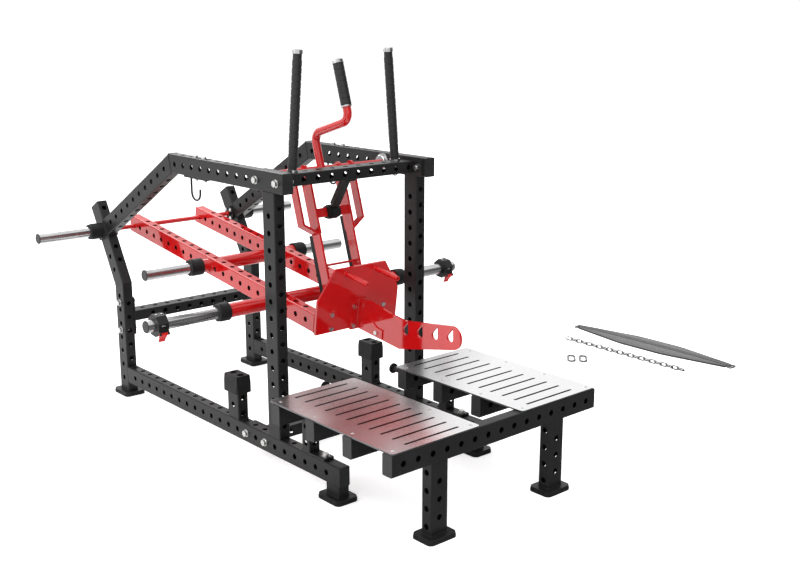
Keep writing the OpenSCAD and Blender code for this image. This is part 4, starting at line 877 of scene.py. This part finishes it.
def stitches(name, path, step=0.006, size=0.0010):
    """Short raised beads along a path, one every step.

    Each is a small closed spindle 0.72 step long: for u from -1 to 1 its radius is
    size / 2 * (1 - u ** 2) ** 0.5, and a little above zero at the ends.
    """
    run = running_length(path)
    at = np.arange(step / 2, run[-1], step)
    centre = at_run(at, run, path)
    ahead = unit(at_run(at + step * 0.1, run, path) - centre)
    side = unit(np.cross(ahead, UPWARDS))
    lift = np.cross(side, ahead)
    u = np.linspace(-1, 1, 5)
    t = np.linspace(0, 2 * np.pi, 6, endpoint=False)
    r = (np.sqrt(np.clip(1 - u ** 2, 0.04, 1)) * size / 2)[:, None]
    local = np.broadcast_arrays(u[:, None] * step * 0.36, r * np.cos(t), r * np.sin(t))
    points = centre[:, None]
    for offset, direction in zip(local, (ahead, side, lift)):
        points = points + offset.reshape(1, -1, 1) * direction[:, None]
    nu, nv = len(u), len(t)
    ids = np.arange(nu * nv).reshape(nu, nv)
    wrap = np.hstack([ids, ids[:, :1]])
    quads = np.stack([wrap[:-1, :-1], wrap[1:, :-1], wrap[1:, 1:], wrap[:-1, 1:]], axis=-1).reshape(-1, 4)
    starts = np.arange(len(at)) * nu * nv
    faces = (quads[None] + starts[:, None, None]).reshape(-1, 4).tolist()
    faces += (starts[:, None] + ids[0]).tolist()
    faces += (starts[:, None] + ids[-1][::-1]).tolist()
    return new_piece(name, points, faces)


def belt_stitching():
    """Two rows beside the strap's edges and two rows inside the bound edge."""
    strap_row, row_to, thread_lift = 0.0150, 0.485, 0.0018
    crown_share, edge_sunk = 0.9, 0.0008
    rows = []
    y = np.linspace(-row_to, row_to, 160)
    for k, x in enumerate((-strap_row, strap_row)):
        z = strap_height(BELT_Y + y) + thread_lift
        path = np.stack([np.full_like(y, BELT_X + x), BELT_Y + y, z], axis=1)
        rows.append(stitches(f"strap_row_{k}", path))
    s = np.linspace(0.03, 0.97, 200)
    half = belt_half_width(s) - CLOTH_INSET
    z = belt_height(s, np.full_like(s, EDGE_ROW)) * crown_share - edge_sunk
    for k, side in enumerate((-1, 1)):
        path = np.stack([BELT_X + side * EDGE_ROW * half, belt_y(s), z], axis=1)
        rows.append(stitches(f"edge_row_{k}", path))
    return join("belt_stitching", rows)


def make_belt():
    """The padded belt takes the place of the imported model's plain solid."""
    pad = belt_pad()
    finish_piece(pad, FINISHES["black_fabric"], "frame")
    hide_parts("padded_belt")
    finish_piece(belt_binding(), BINDING, "frame")
    finish_piece(belt_strap(), WEBBING, "frame")
    finish_piece(belt_stitching(), THREAD, "frame")


make_belt()


# floor and light

def studio_surroundings():
    """White studio: bright overhead and behind, dimmer low down at the front right and in a middle band.

    Strength = 1.12 - the greater of 0.98 * low * front * right and the middle band's share, each a
    smooth ramp over the direction's z, y or x. The camera itself sees at least 1.
    """
    world = bpy.data.worlds.new("studio")
    world.use_nodes = True
    tree = world.node_tree
    back = tree.nodes["Background"]
    back.inputs["Color"].default_value = (1.0, 1.0, 1.0, 1.0)
    where = tree.nodes.new("ShaderNodeTexCoord")
    way = tree.nodes.new("ShaderNodeSeparateXYZ")
    tree.links.new(where.outputs["Generated"], way.inputs[0])

    def ramp(name, low, high, out_low, out_high):
        made = tree.nodes.new("ShaderNodeMapRange")
        made.interpolation_type = "SMOOTHSTEP"
        tree.links.new(way.outputs[name], made.inputs["Value"])
        for socket, value in zip(RAMP_SOCKETS, (low, high, out_low, out_high)):
            made.inputs[socket].default_value = value
        return made.outputs["Result"]

    def combine(operation, a, b):
        made = tree.nodes.new("ShaderNodeMath")
        made.operation = operation
        for socket, value in zip(made.inputs, (a, b)):
            if isinstance(value, float):
                socket.default_value = value
            else:
                tree.links.new(value, socket)
        return made.outputs[0]

    low = ramp("Z", 0.42, 0.66, 1.0, 0.0)
    front = ramp("Y", -0.30, 0.25, 1.0, 0.0)
    right = ramp("X", -0.20, 0.30, 0.0, 1.0)
    dim = combine("MULTIPLY", combine("MULTIPLY", low, front), right)
    middle = combine("MULTIPLY", ramp("Z", 0.38, 0.48, 0.0, 0.5), ramp("Z", 0.56, 0.66, 1.0, 0.0))
    tone = combine("SUBTRACT", 1.12, combine("MAXIMUM", combine("MULTIPLY", dim, 0.98), middle))
    seen = tree.nodes.new("ShaderNodeLightPath")
    tone = combine("MAXIMUM", tone, seen.outputs["Is Camera Ray"])
    tree.links.new(tone, back.inputs["Strength"])
    bpy.context.scene.world = world


def place_lamp(name, kind, at, aim, energy, **settings):
    """A lamp whose own z axis points back from what it is aimed at."""
    data = bpy.data.lights.new(name, kind)
    data.energy = energy
    for key, value in settings.items():
        setattr(data, key, value)
    lamp = bpy.data.objects.new(name, data)
    back = unit(np.subtract(at, aim))
    right = unit(np.cross(UPWARDS, back))
    lamp.matrix_world = placing(right, np.cross(back, right), back, at)
    bpy.context.scene.collection.objects.link(lamp)


def studio():
    """Pale floor just under the feet, white surroundings, one wide soft sun and two large soft lamps."""
    reach, floor_z = 9.0, -0.0006
    u = np.linspace(-reach, reach, 3)
    grid = np.stack(np.meshgrid(u, u, indexing="ij") + [np.full((3, 3), floor_z)], axis=-1)
    floor = surface("studio_floor", grid, smooth=False)
    floor.data.materials.append(studio_floor())
    studio_surroundings()
    machine = (0.0, 0.2, 0.6)
    place_lamp("wide_sun", "SUN", (-1.5, -1.2, 4.0), (0, 0, 0), 1.6, angle=math.radians(70))
    place_lamp("left_lamp", "AREA", (-3.6, 0.6, 3.2), machine, 30, shape="DISK", size=2.4)
    place_lamp("back_lamp", "AREA", (1.5, 4.0, 3.8), machine, 60, shape="DISK", size=2.4)
    bpy.context.scene.view_settings.view_transform = "Standard"


studio()
